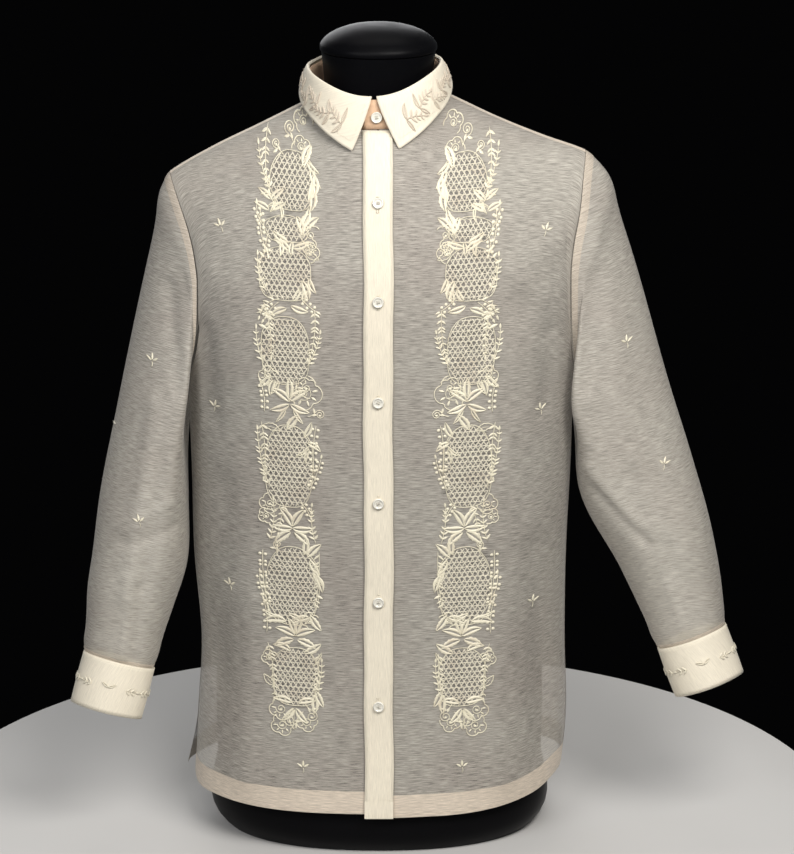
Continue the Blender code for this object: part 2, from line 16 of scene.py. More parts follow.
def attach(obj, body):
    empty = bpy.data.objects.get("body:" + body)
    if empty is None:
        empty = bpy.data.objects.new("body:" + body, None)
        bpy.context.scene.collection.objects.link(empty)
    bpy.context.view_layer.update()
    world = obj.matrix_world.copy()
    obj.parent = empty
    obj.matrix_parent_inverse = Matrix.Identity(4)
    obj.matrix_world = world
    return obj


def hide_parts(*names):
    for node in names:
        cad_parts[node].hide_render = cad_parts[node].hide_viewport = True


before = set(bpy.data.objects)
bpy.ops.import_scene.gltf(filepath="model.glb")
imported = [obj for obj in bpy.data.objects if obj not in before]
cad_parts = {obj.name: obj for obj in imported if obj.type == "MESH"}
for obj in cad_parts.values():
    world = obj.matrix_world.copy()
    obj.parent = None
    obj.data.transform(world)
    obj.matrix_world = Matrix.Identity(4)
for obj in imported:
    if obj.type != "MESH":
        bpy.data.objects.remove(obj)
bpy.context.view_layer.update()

bl_info = {
    "name": "Barong Tagalog Shirt",
    "version": (1, 0, 0),
    "blender": (4, 5, 0),
    "location": "3D View > Sidebar > Barong",
    "description": "Builds a sheer embroidered barong tagalog shirt on a dress form",
    "category": "Add Mesh",
}

WELD = 0.0001
FRONT, BACK = -1.0, 1.0
WEARER_RIGHT, WEARER_LEFT = -1.0, 1.0
WORDS = {WEARER_RIGHT: "right", WEARER_LEFT: "left"}

# The body of the shirt
HEM_HEIGHT = 0.05
HEM_SWEEP = (
    # section angle in degrees, rise of the hem on the wearer's right, and on the wearer's left
    (0.0, 0.002, -0.0025), (30.0, 0.0015, 0.0), (55.0, 0.0015, 0.0075), (75.0, 0.0, 0.014),
    (90.0, 0.003, 0.013),
)
BACK_HEM_BLEND = math.radians(45.0)
VENT_TOP = 0.122
VENT_SPREAD = math.radians(3.0)
VENT_FLARE = {WEARER_RIGHT: 0.01, WEARER_LEFT: 0.003}
UNDERARM_HEIGHT = 0.495
BODY_ROWS = 74
FRONT_EDGE = 0.0008
SEAM_SHIFT = 0.0001
SECTION_POWER = 2.4
BODY_SECTIONS = (
    # height, half width, depth in front, depth behind, shift to the wearer's left
    (0.05, 0.1965, 0.138, 0.126, -0.002), (0.12, 0.1972, 0.136, 0.122, 0.003),
    (0.2, 0.1937, 0.135, 0.118, 0.0042), (0.3, 0.197, 0.137, 0.117, 0.001),
    (0.4, 0.1995, 0.14, 0.119, 0.0022), (0.5, 0.2025, 0.142, 0.121, 0.0016),
    (0.6, 0.213, 0.14, 0.122, 0.0), (0.7, 0.233, 0.135, 0.12, 0.0),
    (0.8, 0.25, 0.128, 0.116, 0.0),
)
FOLDS = (
    # side, facing, section angle and height at its middle, half sizes of both, lean, lift
    (WEARER_LEFT, FRONT, 52.0, 0.655, 10.0, 0.05, 260.0, 0.0035),
    (WEARER_LEFT, FRONT, 40.0, 0.6, 11.0, 0.06, 260.0, -0.003),
    (WEARER_RIGHT, FRONT, 62.0, 0.64, 10.0, 0.045, -160.0, -0.003),
    (WEARER_RIGHT, FRONT, 66.0, 0.23, 12.0, 0.16, 30.0, -0.004),
    (WEARER_LEFT, FRONT, 64.0, 0.18, 12.0, 0.11, -40.0, -0.005),
    (WEARER_LEFT, FRONT, 46.0, 0.3, 14.0, 0.16, 20.0, 0.003),
    (WEARER_RIGHT, BACK, 30.0, 0.33, 12.0, 0.19, -25.0, -0.005),
    (WEARER_LEFT, BACK, 34.0, 0.3, 13.0, 0.2, 30.0, -0.0045),
    (WEARER_RIGHT, BACK, 62.0, 0.25, 12.0, 0.17, 20.0, 0.004),
    (WEARER_LEFT, BACK, 66.0, 0.28, 12.0, 0.16, -20.0, 0.004),
)

# The shoulders and the neckline
NECK_HALF_WIDTH = 0.0705
NECK_DEPTH = {FRONT: 0.076, BACK: 0.062}
NECK_FRONT_HEIGHT = 0.768
NECK_SHIFT = -0.004
SHOULDER_LINE = (
    # distance to the wearer's left, height; the middle rows only carry the slope across the neck
    (-0.25, 0.682), (-0.214, 0.7095), (-0.17, 0.735), (-0.12, 0.7595), (-0.0705, 0.7845),
    (0.0, 0.82), (0.0705, 0.79), (0.12, 0.7665), (0.17, 0.7462), (0.214, 0.7305),
    (0.25, 0.712),
)
SHOULDER_ROUNDING = 1.8
SHOULDER_REACH = {FRONT: 0.22, BACK: 0.1}

# The armholes and the sleeves
ARMHOLES = {
    # side: (half width at the notch, half width at the shoulder tip)
    WEARER_RIGHT: (0.1835, 0.215),
    WEARER_LEFT: (0.196, 0.213),
}
SLEEVES = {
    # height, distance out, distance forward, half width, half depth, wrap round the body
    WEARER_RIGHT: (
        (0.469, 0.2395, 0.015, 0.0325, 0.08, 0.034),
        (0.366, 0.2465, 0.03, 0.0465, 0.072, 0.014),
        (0.303, 0.2515, 0.042, 0.0498, 0.064, 0.004),
        (0.262, 0.2615, 0.052, 0.046, 0.057, 0.0), (0.228, 0.268, 0.061, 0.041, 0.048, 0.0),
        (0.209, 0.272, 0.066, 0.0395, 0.043, 0.0),
    ),
    WEARER_LEFT: (
        (0.466, 0.2585, 0.01, 0.0495, 0.072, 0.044),
        (0.392, 0.269, 0.018, 0.0615, 0.065, 0.018),
        (0.307, 0.303, 0.028, 0.052, 0.058, 0.0), (0.262, 0.3175, 0.036, 0.0455, 0.05, 0.0),
        (0.242, 0.323, 0.042, 0.042, 0.046, 0.0), (0.228, 0.3268, 0.046, 0.04, 0.042, 0.0),
    ),
}
SLEEVE_LEAVES = {WEARER_RIGHT: (0.15, -0.42), WEARER_LEFT: (0.44, -0.5)}
SLEEVE_HEAD = {WEARER_RIGHT: 0.0045, WEARER_LEFT: 0.007}
SLEEVE_HEAD_MIDDLE = 0.16
SLEEVE_HEAD_REACH = 0.12
SLEEVE_CLEARANCE = 0.0004
UNDERARM_CLEARANCE = 0.002
CUFFS = {
    # side: (top centre, bottom centre), each as distance out, distance forward and height
    WEARER_RIGHT: ((0.274, 0.068, 0.1995), (0.288, 0.081, 0.148)),
    WEARER_LEFT: ((0.33, 0.048, 0.2185), (0.349, 0.058, 0.1685)),
}
CUFF_RADIUS = 0.0378
CUFF_SEAM = 0.0004
CUFF_LAP = 0.0022
CUFF_LAP_TURN = math.radians(-110.0)
CUFF_OVERLAP = 2 * math.pi / 22

# The collar
STAND_HEIGHT = {"front": 0.029, "back": 0.034}
STAND_TOP_SCALE = 0.945
STAND_SWELL = 0.007
STAND_FOOT = 0.0005
STAND_INSET = 0.0004
STAND_LAP = 0.0021
COLLAR_LAP = math.radians(12.0)
COLLAR_BUTTON_SHARE = 0.4
COLLAR_TILT = 0.003
FALL_HALF_WIDTH = 0.0785
FALL_DEPTH = {FRONT: 0.092, BACK: 0.08}
FALL_SHIFT = -0.0028
FALL_POINT_HEIGHT = 0.744
FALL_BACK_RISE = 0.056
FALL_SIDE_RISE = 0.016
FALL_POINT_TURN = math.radians(17.5)
FALL_HOLLOW = 0.0085
FALL_TOP_TURN = math.radians(2.0)
FALL_CLEARANCE = 0.003
FALL_PROFILE = (
    # share of the way down, distance out from the stand, distance above its top
    (0.0, 0.0002, 0.002), (0.0, 0.002, 0.0038), (0.06, 0.0038, 0.002), (0.34, 0.0048, 0.0),
    (0.68, 0.005, 0.0), (1.0, 0.0, 0.0),
)

# The placket and its buttons
PLACKET_WIDTH = 0.03
PLACKET_DROP = 0.0024
PLACKET_TOP_GAP = 0.001
PLACKET_LIFT = 0.0022
BUTTON_RADIUS = 0.0058
BUTTON_THICKNESS = 0.0026
CLOTH_WALL = 0.0009
STITCH_LIFT = 0.0008
EDGE_STITCH = 0.0022
FOOT_TURN = 0.0195
BUTTON_HEIGHTS = (0.701, 0.606, 0.502, 0.3945, 0.287, 0.172)

# The dress form
FORM_SECTIONS = (
    # height, half width, depth in front, depth behind
    (0.0, 0.166, 0.112, 0.1), (0.004, 0.17, 0.116, 0.104), (0.08, 0.174, 0.119, 0.108),
    (0.18, 0.174, 0.119, 0.107), (0.3, 0.169, 0.116, 0.1), (0.4, 0.172, 0.119, 0.101),
    (0.5, 0.18, 0.124, 0.104), (0.58, 0.182, 0.119, 0.105), (0.64, 0.183, 0.102, 0.098),
    (0.675, 0.183, 0.086, 0.084), (0.694, 0.176, 0.076, 0.072),
    (0.708, 0.162, 0.069, 0.063), (0.723, 0.138, 0.063, 0.056), (0.739, 0.109, 0.058, 0.05),
    (0.754, 0.083, 0.054, 0.046), (0.768, 0.065, 0.051, 0.044), (0.784, 0.056, 0.05, 0.044),
    (0.808, 0.056, 0.052, 0.047), (0.836, 0.0585, 0.055, 0.051),
)
FORM_POWER = 2.25
CAP_POWER = 2.1
CAP_HALF_WIDTH = 0.06
CAP_BASE_HEIGHT = 0.8363
CAP_PROFILE = (
    # share of the half width, height above the base
    (0.94, 0.0), (0.985, 0.0004), (1.0, 0.0015), (1.0, 0.005), (0.97, 0.0085),
    (0.88, 0.014), (0.72, 0.0195), (0.5, 0.024), (0.26, 0.0264), (0.05, 0.0268),
)


# ---- the shirt's surfaces


def running_total(steps):
    return np.concatenate(((0,), np.cumsum(steps)))


def smooth_columns(table, at):
    """The columns after the first, read at values of the first by a smooth curve."""
    rows = np.array(sorted(table, key=lambda row: row[0]), float)
    keys, values = rows[:, 0], rows[:, 1:]
    at = np.clip(at, keys[0], keys[-1])
    i = np.clip(np.searchsorted(keys, at) - 1, 0, len(keys) - 2)
    slopes = np.gradient(values, keys, axis=0)
    span = (keys[i + 1] - keys[i])[..., None]
    u = (at - keys[i])[..., None] / span
    return (
        (2 * u**3 - 3 * u**2 + 1) * values[i]
        + (u**3 - 2 * u**2 + u) * span * slopes[i]
        + (3 * u**2 - 2 * u**3) * values[i + 1]
        + (u**3 - u**2) * span * slopes[i + 1]
    )


def crest_height(x):
    """How high the shoulder line runs at a distance to the wearer's left."""
    return smooth_columns(SHOULDER_LINE, x)[..., 0]


def height_at(rise, x):
    """The height of a share of the way from the underarm up to the shoulder line."""
    return UNDERARM_HEIGHT + rise * (crest_height(x) - UNDERARM_HEIGHT)


def half_width(height):
    return smooth_columns(BODY_SECTIONS, height)[..., 0]


def angle_at(x, height):
    """The section angle, 0 at the middle and 90 degrees at the side, of a distance out."""
    share = np.minimum(np.abs(x) / half_width(height), 1.0)
    return np.arcsin(share ** (SECTION_POWER / 2))


def fold_lift(angle, height, side, facing):
    """How far the largest soft folds lift the cloth, or sink it."""
    lift = 0.0
    for fold_side, fold_facing, middle, level, wide, tall, lean, rise in FOLDS:
        if (fold_side, fold_facing) == (side, facing):
            across = (np.degrees(angle) - middle - lean * (height - level)) / wide
            along = (height - level) / tall
            lift = lift + rise * np.exp(-across * across - along * along)
    return lift


def section_point(angle, height, side, facing, rounding=1.0):
    """Points of the section at a height; rounding below 1 draws them in to the shoulder line."""
    columns = smooth_columns(BODY_SECTIONS, height)
    width, front, back, shift = np.moveaxis(columns, -1, 0)
    lift = fold_lift(angle, height, side, facing)
    depth = (front if facing == FRONT else back) + lift
    sine, cosine = np.sin(angle), np.maximum(np.cos(angle), 0.0)
    x = side * (width + lift) * sine ** (2 / SECTION_POWER) + shift * sine
    y = facing * depth * cosine ** (2 / SECTION_POWER) * rounding
    return np.stack(np.broadcast_arrays(x, y, height), axis=-1)


def body_point(angle, rise, side, facing):
    """Points above the underarm: rise is 0 at that height and 1 on the shoulder line."""
    height = height_at(rise, 0.15 * side)
    for _ in range(4):
        x = section_point(angle, height, side, facing)[..., 0]
        height = height_at(rise, x)
    drop = np.maximum(crest_height(x) - height, 0.0) / SHOULDER_REACH[facing]
    share = 1 - np.maximum(1 - drop, 0.0) ** SHOULDER_ROUNDING
    return section_point(angle, height, side, facing, share ** (1 / SHOULDER_ROUNDING))


def lower_point(angle, share, side, facing):
    """Points below the underarm: share is 0 on the hem and 1 at the underarm's height."""
    sweep = smooth_columns(HEM_SWEEP, np.degrees(angle))
    rise = sweep[..., 0 if side == WEARER_RIGHT else 1]
    if facing == BACK:
        near = np.clip(1 - np.asarray(angle) / BACK_HEM_BLEND, 0.0, 1.0)
        rise = rise + (sweep.mean(axis=-1) - rise) * near**2 * (3 - 2 * near)
    hem = HEM_HEIGHT + rise
    height = hem + (UNDERARM_HEIGHT - hem) * share
    points = section_point(angle, height, side, facing)
    if facing == BACK:
        loose = np.maximum(VENT_TOP - height, 0.0) / (VENT_TOP - HEM_HEIGHT)
        points[..., 0] += side * VENT_FLARE[side] * loose**1.5 * np.sin(angle) ** 10
    return points


def cloth_height(x, y):
    """The height of the shoulders' cloth over one place beside the neck."""
    facing = FRONT if y < 0 else BACK
    side = WEARER_LEFT if x >= 0 else WEARER_RIGHT
    height = crest_height(x)
    for _ in range(3):
        straight_out = section_point(angle_at(x, height), height, side, facing)
        share = min(abs(y / straight_out[1]), 1.0) ** SHOULDER_ROUNDING
        drop = 1 - (1 - share) ** (1 / SHOULDER_ROUNDING)
        height = crest_height(x) - drop * SHOULDER_REACH[facing]
    return height


def neck_edge(turn, side, facing):
    """Section angle and rise on the neckline: turn is 0 at the middle, 90 degrees at the side."""
    x = side * NECK_HALF_WIDTH * math.sin(turn)
    height = cloth_height(x, facing * NECK_DEPTH[facing] * math.cos(turn))
    rise = (height - UNDERARM_HEIGHT) / (crest_height(x) - UNDERARM_HEIGHT)
    return angle_at(x, height), rise


def armhole_edge(turn, side):
    """Section angle and rise on an armhole: turn runs from -90 degrees, underarm, to 90, tip."""
    rise = (1 + math.sin(turn)) / 2
    notch, tip = ARMHOLES[side]
    height = height_at(rise, side * tip)
    swing = math.sin(turn)
    if swing < 0:
        x = notch + (half_width(UNDERARM_HEIGHT) - notch) * abs(swing) ** 3
    else:
        x = notch + (tip - notch) * swing**1.3
    if turn <= -math.pi / 2 + 1e-6:
        return math.pi / 2, 0.0
    return angle_at(x, height), rise


def armhole_point(turn, side):
    """A point of the armhole: -90 to 90 degrees runs up its front, 90 to 270 down its back."""
    if turn <= math.pi / 2:
        return body_point(*armhole_edge(turn, side), side, FRONT)
    return body_point(*armhole_edge(math.pi - turn, side), side, BACK)


def vent_angle(height):
    """How far the side edge opens from the side seam, below the top of the vent."""
    return VENT_SPREAD * max(VENT_TOP - height, 0.0) / (VENT_TOP - HEM_HEIGHT)


def panel_grid(side, facing, lower=BODY_ROWS, upper=38, neckline=18, across=50, first_x=0.0):
    """A grid of points of one half, from the hem up and then round the neckline to its side."""
    rows = []
    middle_start = angle_at(first_x, NECK_FRONT_HEIGHT)
    mix = np.linspace(0, 1, across + 1)
    for step in range(lower):
        share = step / lower
        height = HEM_HEIGHT + (UNDERARM_HEIGHT - HEM_HEIGHT) * share
        side_angle = math.pi / 2 - vent_angle(height)
        angles = middle_start + (side_angle - middle_start) * mix
        rows.append(lower_point(angles, share, side, facing))
    mid_rise = neck_edge(0.0, side, facing)[1]
    for step in range(upper + neckline + 1):
        share = step / (upper + neckline)
        end, end_rise = armhole_edge(math.pi * (share - 0.5), side)
        if step <= upper:
            start, start_rise = middle_start, mid_rise * step / upper
        else:
            start, start_rise = neck_edge(math.pi / 2 * (step - upper) / neckline, side, facing)
            start = max(start, middle_start)
        angles = start + (end - start) * mix
        rows.append(body_point(angles, start_rise + (end_rise - start_rise) * mix, side, facing))
    grid = np.array(rows)
    grid[..., 1] += facing * SEAM_SHIFT
    return grid


def set_across(direction, side):
    """The forward and outward directions across a sleeve's own direction."""
    ahead = direction.cross(Vector((side, 0, 0))).normalized() * side
    return ahead, ahead.cross(direction).normalized() * side


def cuff_directions(side):
    """A cuff's top and bottom centres, and its downward, outward and forward directions."""
    top, bottom = (np.array((side * out, -ahead, up)) for out, ahead, up in CUFFS[side])
    down = Vector(bottom - top).normalized()
    ahead, out = set_across(down, side)
    return top, bottom, np.array(down), np.array(out), np.array(ahead)


def sleeve_frames(side):
    """The middle, outward and forward directions and half sizes of each ring of a sleeve."""
    table = SLEEVES[side]
    middles = [Vector((side * out, -ahead, height)) for height, out, ahead, *_ in table]
    below = middles[-1] + Vector(cuff_directions(side)[2]) * 0.05
    frames = []
    for i, middle in enumerate(middles):
        before = middles[max(i - 1, 0)]
        after = middles[i + 1] if i + 1 < len(middles) else below
        direction = (after - before).normalized()
        ahead, out = set_across(direction, side)
        frames.append((np.array(middle), np.array(out), np.array(ahead), *table[i][3:]))
    return frames


def ring_points(ring, turns):
    """A sleeve's ring, whose turns match the armhole's: 90 degrees is its outer side."""
    middle, out, ahead, wide, deep, wrap = ring
    sideways = wide * np.sin(turns) - wrap * np.cos(turns) ** 2
    return middle + sideways[:, None] * out + (deep * np.cos(turns))[:, None] * ahead


def sleeve_grid(side, around=100, cap_rows=56, lower_rows=64):
    """A grid of points of a sleeve, from the armhole's own edge down to the cuff."""
    turns = math.pi * (2 * np.arange(around) / around - 0.5)
    frames = sleeve_frames(side)
    leave_out, leave_down = SLEEVE_LEAVES[side]
    under = ((1 - np.sin(turns)) / 2)[:, None]
    start = np.array([armhole_point(turn, side) for turn in turns])
    start[:, 0] += side * (SLEEVE_CLEARANCE + UNDERARM_CLEARANCE * under[:, 0])
    end, beyond = ring_points(frames[0], turns), ring_points(frames[1], turns)
    reach = np.linalg.norm(end - start, axis=1, keepdims=True)
    leaving = np.array((side * leave_out, 0, leave_down)) * reach
    arriving = beyond - end
    arriving *= reach / np.linalg.norm(arriving, axis=1, keepdims=True)
    rows = []
    for u in np.arange(cap_rows) / cap_rows:
        fullness = math.exp(-(((u - SLEEVE_HEAD_MIDDLE) / SLEEVE_HEAD_REACH) ** 2)) * (u > 0)
        fullness *= min(u / 0.03, 1.0)
        head = side * SLEEVE_HEAD[side] * fullness * (1 - under)
        rows.append(
            start * (2 * u**3 - 3 * u**2 + 1)
            + leaving * (u**3 - 2 * u**2 + u)
            + end * (3 * u**2 - 2 * u**3)
            + arriving * (u**3 - u**2)
            + head * np.array((1, 0, 0))
        )
    top, _, down, out, ahead = cuff_directions(side)
    rings = [ring_points(ring, turns) for ring in frames]
    last = np.sin(turns)[:, None] * out + np.cos(turns)[:, None] * ahead
    rings.append(top - down * CUFF_SEAM + last * (CUFF_RADIUS - 0.0006))
    rings = np.array(rings)
    steps = np.linalg.norm(np.diff(rings, axis=0), axis=2).mean(axis=1)
    along = running_total(steps)
    table = [(key, *ring.ravel()) for key, ring in zip(along, rings)]
    for key in np.linspace(0, along[-1], lower_rows):
        rows.append(smooth_columns(table, key).reshape(-1, 3))
    return np.array(rows)


def neck_ring_point(turn, share=0.0):
    """A point of the collar stand: turn 0 is the front, 90 degrees the wearer's left side."""
    side = WEARER_LEFT if math.sin(turn) >= 0 else WEARER_RIGHT
    facing = FRONT if math.cos(turn) >= 0 else BACK
    quarter = math.acos(min(abs(math.cos(turn)), 1.0))
    foot = body_point(*neck_edge(quarter, side, facing), side, facing)
    back_share = (1 - math.cos(turn)) / 2
    rise = STAND_HEIGHT["front"] + (STAND_HEIGHT["back"] - STAND_HEIGHT["front"]) * back_share
    if facing == FRONT:
        rise += STAND_SWELL * math.sin(2 * turn) ** 2
    scale = 1 + (STAND_TOP_SCALE - 1) * share
    height = foot[2] + STAND_FOOT + rise * share
    return Vector((foot[0] * scale + NECK_SHIFT * share, foot[1] * scale, height))


def fall_edge_point(turn):
    """A point of the fall's lower edge, from the collar points round to the back of the neck."""
    back_share = (1 - math.cos(turn)) / 2
    x = FALL_HALF_WIDTH * math.sin(turn) + FALL_SHIFT
    y = -FALL_DEPTH[FRONT if math.cos(turn) > 0 else BACK] * math.cos(turn)
    height = FALL_POINT_HEIGHT + FALL_BACK_RISE * back_share
    height += FALL_SIDE_RISE * abs(math.sin(turn)) + COLLAR_TILT * math.sin(turn)
    height += FALL_HOLLOW * min(max((abs(math.sin(turn)) - 0.3) / 0.5, 0.0), 1.0)
    return Vector((x, y, max(height, cloth_height(x, y) + FALL_CLEARANCE)))


def grid_normals(grid, closed=False):
    """Unit normals of a grid of points; on a tube the first column follows the last."""
    wide = np.concatenate((grid[:, -1:], grid, grid[:, :1]), axis=1) if closed else grid
    normals = np.cross(np.gradient(wide, axis=1), np.gradient(wide, axis=0))
    normals /= np.maximum(np.linalg.norm(normals, axis=2, keepdims=True), 1e-12)
    return normals[:, 1:-1] if closed else normals


def faced_out(grid, normals, centre_x=0.0):
    """The normals, all turned away from the upright line inside the piece."""
    away = grid[..., :2] - np.array((centre_x, 0.0))
    return normals if (normals[..., :2] * away).sum() > 0 else -normals


# ---- soft creases

CREASES = {
    # piece and facing: x and height at the start and end, half width and lift, all in mm
    ("front_left", FRONT): (
        (90, 672, 165, 600, 12, 3), (105, 645, 170, 560, 10, -2.6), (30, 690, 85, 655, 8, -1.4),
        (20, 672, 70, 648, 6, 1.2), (178, 560, 172, 480, 10, -2.8), (160, 330, 172, 100, 16, -4),
        (118, 300, 130, 80, 15, 2.8), (140, 470, 120, 350, 20, 2), (60, 170, 50, 60, 14, -1.6),
    ),
    ("front_right", FRONT): (
        (-100, 690, -160, 640, 12, -2.4), (-80, 660, -150, 600, 12, 2),
        (-178, 560, -170, 470, 10, -2.8), (-160, 400, -168, 180, 14, -3),
        (-130, 280, -140, 80, 14, 2.6), (-60, 200, -52, 70, 14, -1.4), (-20, 640, -70, 630, 5, 1),
        (-22, 610, -75, 604, 5, -1),
    ),
    ("back", BACK): (
        (-120, 680, -60, 560, 14, 2.4), (125, 690, 70, 570, 14, 2.2),
        (-90, 500, -70, 120, 16, -3.4), (80, 480, 100, 90, 18, -3.6),
        (10, 420, -10, 100, 20, 2.4), (150, 420, 160, 140, 13, 2.6),
        (-150, 400, -155, 120, 13, 2.4),
    ),
    ("sleeve_right", FRONT): (
        (-215, 600, -205, 500, 9, -2.8), (-230, 480, -262, 280, 10, 2.6),
        (-222, 430, -245, 290, 8, -2.6), (-215, 380, -265, 352, 7, 2),
        (-212, 352, -262, 336, 6, -2.2), (-258, 300, -268, 215, 6, 1.8),
        (-244, 290, -254, 212, 6, -1.8),
    ),
    ("sleeve_left", FRONT): (
        (222, 610, 214, 500, 10, -3), (240, 560, 262, 420, 12, 2.6), (225, 470, 300, 300, 11, -3),
        (216, 412, 268, 352, 8, 2.6), (224, 388, 280, 330, 6, -2.6), (280, 350, 318, 240, 7, 2),
        (300, 330, 338, 245, 7, -2),
    ),
    ("sleeve_right", BACK): (
        (-225, 560, -240, 360, 11, -2.8), (-225, 372, -270, 340, 8, 2.4),
        (-245, 320, -265, 215, 7, -2),
    ),
    ("sleeve_left", BACK): (
        (235, 560, 262, 380, 11, -2.8), (245, 392, 300, 350, 8, 2.4), (290, 330, 325, 240, 7, -2),
    ),
}
CREASE_TURN = 0.45


def creased(name, grid, normals):
    """The grid with its soft creases: each a ridge or trough along a line seen from the front."""
    lift = np.zeros(grid.shape[:2])
    wanted = [
        (facing, *(value / 1000 for value in line))
        for (piece, facing), lines in CREASES.items() if piece == name for line in lines
    ]
    for facing, x0, z0, x1, z1, wide, rise in wanted:
        line = np.array((x1 - x0, z1 - z0))
        offset = grid[..., (0, 2)] - np.array((x0, z0))
        along = np.clip(offset @ line / (line @ line), 0, 1)
        away = np.linalg.norm(offset - along[..., None] * line, axis=-1)
        towards = np.clip(facing * normals[..., 1] / CREASE_TURN, 0, 1)
        lift += rise * np.exp(-((away / wide) ** 2)) * towards
    return grid + normals * lift[..., None]


# ---- meshes


def cloth_measures(grid, closed=False):
    """Distances across and up the cloth at each point of a grid, in metres."""
    wide = np.concatenate((grid, grid[:, :1]), axis=1) if closed else grid
    across = np.cumsum(np.linalg.norm(np.diff(wide, axis=1), axis=2), axis=1)
    first = wide[:, :1, 0] * 0 if closed else np.abs(wide[:, :1, 0])
    across = np.concatenate((first, across + first), axis=1)
    up = np.cumsum(np.linalg.norm(np.diff(wide, axis=0), axis=2), axis=0)
    up = np.concatenate((up[:1] * 0, up), axis=0)
    return np.stack((across, wide[:1, :, 2] + (-up if closed else up)), axis=-1)


def cloth_piece(name, grids, material, closed=False, wall=0.0, masks=None):
    """A sheet through grids of points, whose UV map holds distances on the cloth."""
    points, faces, corners, first = [], [], [], 0
    for grid, measures in grids:
        rows, columns = grid.shape[:2]
        i = np.arange(rows - 1)[:, None]
        j = np.arange(columns if closed else columns - 1)[None]
        k = (j + 1) % columns
        low, high = i * columns, (i + 1) * columns
        faces.append(np.stack((low + j, low + k, high + k, high + j), -1).reshape(-1, 4) + first)
        corner = (measures[i, j], measures[i, j + 1], measures[i + 1, j + 1], measures[i + 1, j])
        corners.append(np.stack(corner, axis=2).reshape(-1, 2))
        points.append(grid.reshape(-1, 3))
        first += rows * columns
    mesh = bpy.data.meshes.new(name)
    mesh.from_pydata(np.concatenate(points).tolist(), [], np.concatenate(faces).tolist())
    mesh.uv_layers.new(name="Cloth").data.foreach_set("uv", np.concatenate(corners).ravel())
    if masks is not None:
        layer = mesh.attributes.new("Openwork", "FLOAT", "POINT")
        layer.data.foreach_set("value", np.concatenate([m.ravel() for m in masks]))
    form = bmesh.new()
    form.from_mesh(mesh)
    bmesh.ops.remove_doubles(form, verts=form.verts, dist=WELD)
    bmesh.ops.recalc_face_normals(form, faces=form.faces)
    form.to_mesh(mesh)
    form.free()
    obj = finished(name, mesh, material)
    if wall:
        solid = obj.modifiers.new("Thickness", "SOLIDIFY")
        solid.thickness = wall
        solid.offset = 0.0
    return obj


def finished(name, mesh, material):
    """An object for a mesh, with its material, smooth faces and a ride on the root body."""
    mesh.shade_smooth()
    obj = shown(bpy.data.objects.new(name, mesh))
    obj.data.materials.append(material)
    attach(obj, "root")
    return obj


def settled(name, form, material):
    """A finished piece from a bmesh, which is freed."""
    mesh = bpy.data.meshes.new(name)
    form.to_mesh(mesh)
    form.free()
    return finished(name, mesh, material)


def edges_of(verts):
    return list({e for v in verts for e in v.link_edges})


def edges_within(verts):
    """The edges that join points of one loop."""
    members = set(verts)
    return list({e for v in verts for e in v.link_edges if e.other_vert(v) in members})


def loft(name, rings, material):
    """A closed solid through level rings of points, bridged one to the next."""
    form = bmesh.new()
    loops = []
    for ring in rings:
        made = bmesh.ops.create_circle(form, cap_ends=False, segments=len(ring), radius=1.0)
        for vertex, point in zip(made["verts"], ring):
            vertex.co = point
        loops.append(made["verts"])
    for low, high in zip(loops, loops[1:]):
        bmesh.ops.bridge_loops(form, edges=edges_within(low) + edges_within(high))
    for loop in (loops[0], loops[-1]):
        bmesh.ops.edgeloop_fill(form, edges=edges_within(loop))
    bmesh.ops.recalc_face_normals(form, faces=form.faces)
    return settled(name, form, material)


def level_ring(height, wide, front, back, around, power):
    """A level section of the dress form."""
    turns = 2 * np.pi * np.arange(around) / around
    sine, cosine = np.sin(turns), np.cos(turns)
    x = np.copysign(wide * np.abs(sine) ** (2 / power), sine)
    depth = np.where(cosine > 0, front, back)
    y = -np.copysign(depth * np.abs(cosine) ** (2 / power), cosine)
    return np.column_stack((x, y, np.full(around, height)))


# ---- materials


def add_node(tree, kind, inputs=(), **settings):
    """A shader node with its settings, whose inputs are given as values or as other sockets."""
    node = tree.nodes.new(kind)
    for name, value in settings.items():
        setattr(node, name, value)
    for socket, value in dict(inputs).items():
        if isinstance(value, bpy.types.NodeSocket):
            tree.links.new(value, node.inputs[socket])
        else:
            node.inputs[socket].default_value = value
    return node


def mix_colour(tree, factor, first, second):
    """A colour between two, as an output socket."""
    mix = add_node(tree, "ShaderNodeMix", data_type="RGBA", clamp_factor=True)
    for socket, value in ((0, factor), (6, first), (7, second)):
        if isinstance(value, bpy.types.NodeSocket):
            tree.links.new(value, mix.inputs[socket])
        else:
            mix.inputs[socket].default_value = value
    return mix.outputs[2]


def spread(tree, value, low, high, start=0.0, end=1.0):
    """A value stretched from one range to another, as an output socket."""
    inputs = {"Value": value, "From Min": low, "From Max": high, "To Min": start, "To Max": end}
    return add_node(tree, "ShaderNodeMapRange", inputs).outputs["Result"]


def noise(tree, place, scale, detail=2.0, roughness=0.5, distortion=0.0, flat=False):
    """A noise texture's value, as an output socket."""
    inputs = {
        "Vector": place, "Scale": scale, "Detail": detail, "Roughness": roughness,
        "Distortion": distortion,
    }
    kind = "2D" if flat else "3D"
    return add_node(tree, "ShaderNodeTexNoise", inputs, noise_dimensions=kind).outputs[0]


def stretched(tree, place, scales):
    """A place scaled by three factors, as an output socket."""
    inputs = {0: place, 1: scales}
    return add_node(tree, "ShaderNodeVectorMath", inputs, operation="MULTIPLY").outputs["Vector"]


def calculated(tree, operation, first, second):
    """The result of a sum on two values, as an output socket."""
    return add_node(tree, "ShaderNodeMath", {0: first, 1: second}, operation=operation).outputs[0]


